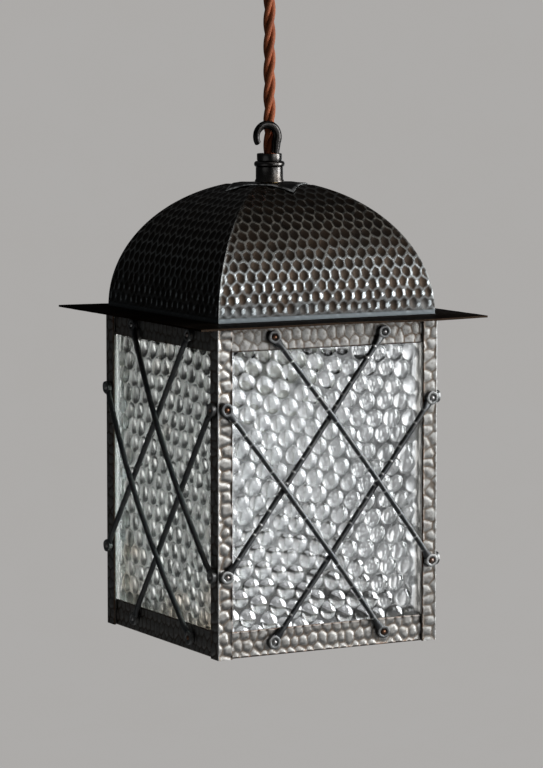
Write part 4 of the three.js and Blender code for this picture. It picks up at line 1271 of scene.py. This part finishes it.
def make_lights():
    soft_box("key", 60, 12, 2.3, (0.85, 1.4), 13.0, (0.95, 0.98, 1.0))
    soft_box("strip", 25, 20, 2.3, (0.7, 1.0), 3.5, (0.95, 0.98, 1.0))
    soft_box("panel", 34, 0, 2.6, (3.0, 2.2), 0.62)
    soft_box("sky", 20, 62, 2.4, (2.0, 2.0), 0.36, (1.0, 0.97, 0.92))


def make_world():
    """A faint light all round, and pale where the camera sees past the stage."""
    world = bpy.data.worlds.new("studio")
    world.use_nodes = True
    nodes, links = world.node_tree.nodes, world.node_tree.links
    backdrop = nodes["Background"]
    backdrop.inputs["Color"].default_value = (0.93, 0.96, 1.0, 1.0)
    seen = nodes.new("ShaderNodeMath")
    seen.operation = "MULTIPLY_ADD"
    seen.inputs[1].default_value = BACKDROP
    seen.inputs[2].default_value = WORLD_GLOW
    links.new(nodes.new("ShaderNodeLightPath").outputs["Is Camera Ray"], seen.inputs[0])
    links.new(seen.outputs[0], backdrop.inputs["Strength"])
    scene.world = world


# Assembly


def dress_flex():
    """One cord from the neck up to the ceiling, and its ends inside the fittings."""
    fabric = flex_fabric()
    ends = drop_low[2] - FIT, drop_high[2] + FIT
    flex = dress("flex_drop", twisted_flex(*ends), fabric)
    for node in ("flex_inner", "flex_tail"):
        low, high = node_box(node)
        dress(node, twisted_flex(low[2], high[2]), fabric)


def dress_faces():
    """Roof panel, rails, pane, post and rods of each side. Top rails and every other post are less marked and
    take a darker copy of the pewter, a painted shade.
    """
    roof, iron = roof_metal(), black_iron()
    # the second, darker copy of the pewter is painted shade
    pewter, shaded = pewter_metal("pewter_metal", 0.90, 0.34), pewter_metal("shaded_pewter", 0.69, 0.46)
    for quarter, (face, corner) in enumerate(zip(FACES, CORNERS)):
        seed = 100 * (quarter + 1)
        glass = pane_glass(f"pane_glass_{face}", PANE_GRIME_AND_SHADE[quarter], PANE_FROST[quarter])
        # every other post takes the darker pewter, a painted shade
        depth, tin = (0.7 * POST_DEPTH, shaded) if quarter % 2 else (POST_DEPTH, pewter)
        dress(f"roof_panel_{face}", roof_panel(seed + 1).turned(quarter), roof, 60)
        dress(f"bottom_rail_{face}", rail(False, RAIL_DEPTH, seed + 2).turned(quarter), pewter, 50)
        dress(f"top_rail_{face}", rail(True, 0.6 * RAIL_DEPTH, seed + 3).turned(quarter), shaded, 50)
        dress(f"glass_{face}", pane(seed + 4, PANE_RELIEF[quarter]).turned(quarter), glass, 50)
        dress(f"corner_post_{corner}", corner_post(depth, seed + 5).turned(quarter), tin, 50)
        for number, rod in enumerate(lattice_rods(seed + 10), 1):
            dress(f"lattice_rod_{face}_{number}", rod.turned(quarter), iron, 50)


def dress_top():
    """Brim, cap, neck, collar and hook."""
    dark, brown = (0.010, 0.0086, 0.0077), (0.021, 0.0160, 0.0122)
    dusky, russet = (0.017, 0.0144, 0.0127), (0.033, 0.0248, 0.0186)
    grey, warm = (0.095, 0.092, 0.09), (0.08, 0.067, 0.056)
    black, sooty = (0.024, 0.0235, 0.024), (0.030, 0.0275, 0.0255)
    copper, bright = (0.034, 0.022, 0.015), (0.85, 0.86, 0.85)
    turned = plate_metal("neck_metal", grey, warm, bright, 0.25)
    dress("brim", brim_plate(), plate_metal("brim_metal", dusky, russet, copper, 0.5, 0.3))
    dress("cap_plate", cap_sheet(), plate_metal("cap_metal", dark, brown, bright, 0.4))
    dress("neck_tube", neck(), turned)
    dress("hook_collar", collar(), turned)
    dress("hanging_hook", hook(), plate_metal("hook_iron", black, sooty, bright, 0.17), 60)


def dress_lamp(brass):
    """Nipple, nut, lampholder and bulb."""
    nickel = plain_metal("bulb_nickel", (0.42, 0.40, 0.37), (0.55, 0.53, 0.50), 0.26)
    ceramic = moulded("glazed_ceramic", (0.78, 0.76, 0.70), (0.70, 0.67, 0.60), 0.2)
    dress("nipple", nipple_tube(), brass, 60)
    dress("neck_nut", hex_nut("neck_nut", BORE), brass, 30)
    dress("lampholder_cap", holder_cap(), brass)
    dress("lampholder_skirt", holder_skirt(), brass)
    dress("lampholder_insert", holder_insert(), ceramic)
    dress("centre_contact", contact(), brass)
    dress("bulb_cap", bulb_cap(), nickel, 60)
    dress("bulb_glass", bulb_globe(), bulb_glass(), 60)


def dress_ceiling(brass):
    """The fitting that the flex hangs from."""
    bronze = plain_metal("dark_bronze", (0.035, 0.027, 0.022), (0.060, 0.042, 0.031), 0.38)
    plastic = moulded("block_plastic", (0.74, 0.71, 0.62), (0.66, 0.62, 0.53), 0.45)
    dress("ceiling_plate", ceiling_plate(), bronze)
    dress("ceiling_cover", ceiling_cover(), bronze)
    for side, node in ((-1, "cover_screw_left"), (1, "cover_screw_right")):
        dress(node, cover_screw(side, node), brass)
    dress("ceiling_cord_grip", cord_grip(), bronze)
    dress("ceiling_grip_nut", hex_nut("ceiling_grip_nut", COVER_HOLE), brass, 30)
    dress("terminal_block", terminal_block(), plastic)


make_camera()
dress_flex()
dress_faces()
dress_top()
aged_brass = plain_metal("aged_brass", (0.30, 0.20, 0.085), (0.42, 0.30, 0.13), 0.32)
dress_lamp(aged_brass)
dress_ceiling(aged_brass)
make_stage()
make_lights()
make_world()
scene.view_settings.view_transform = "Standard"
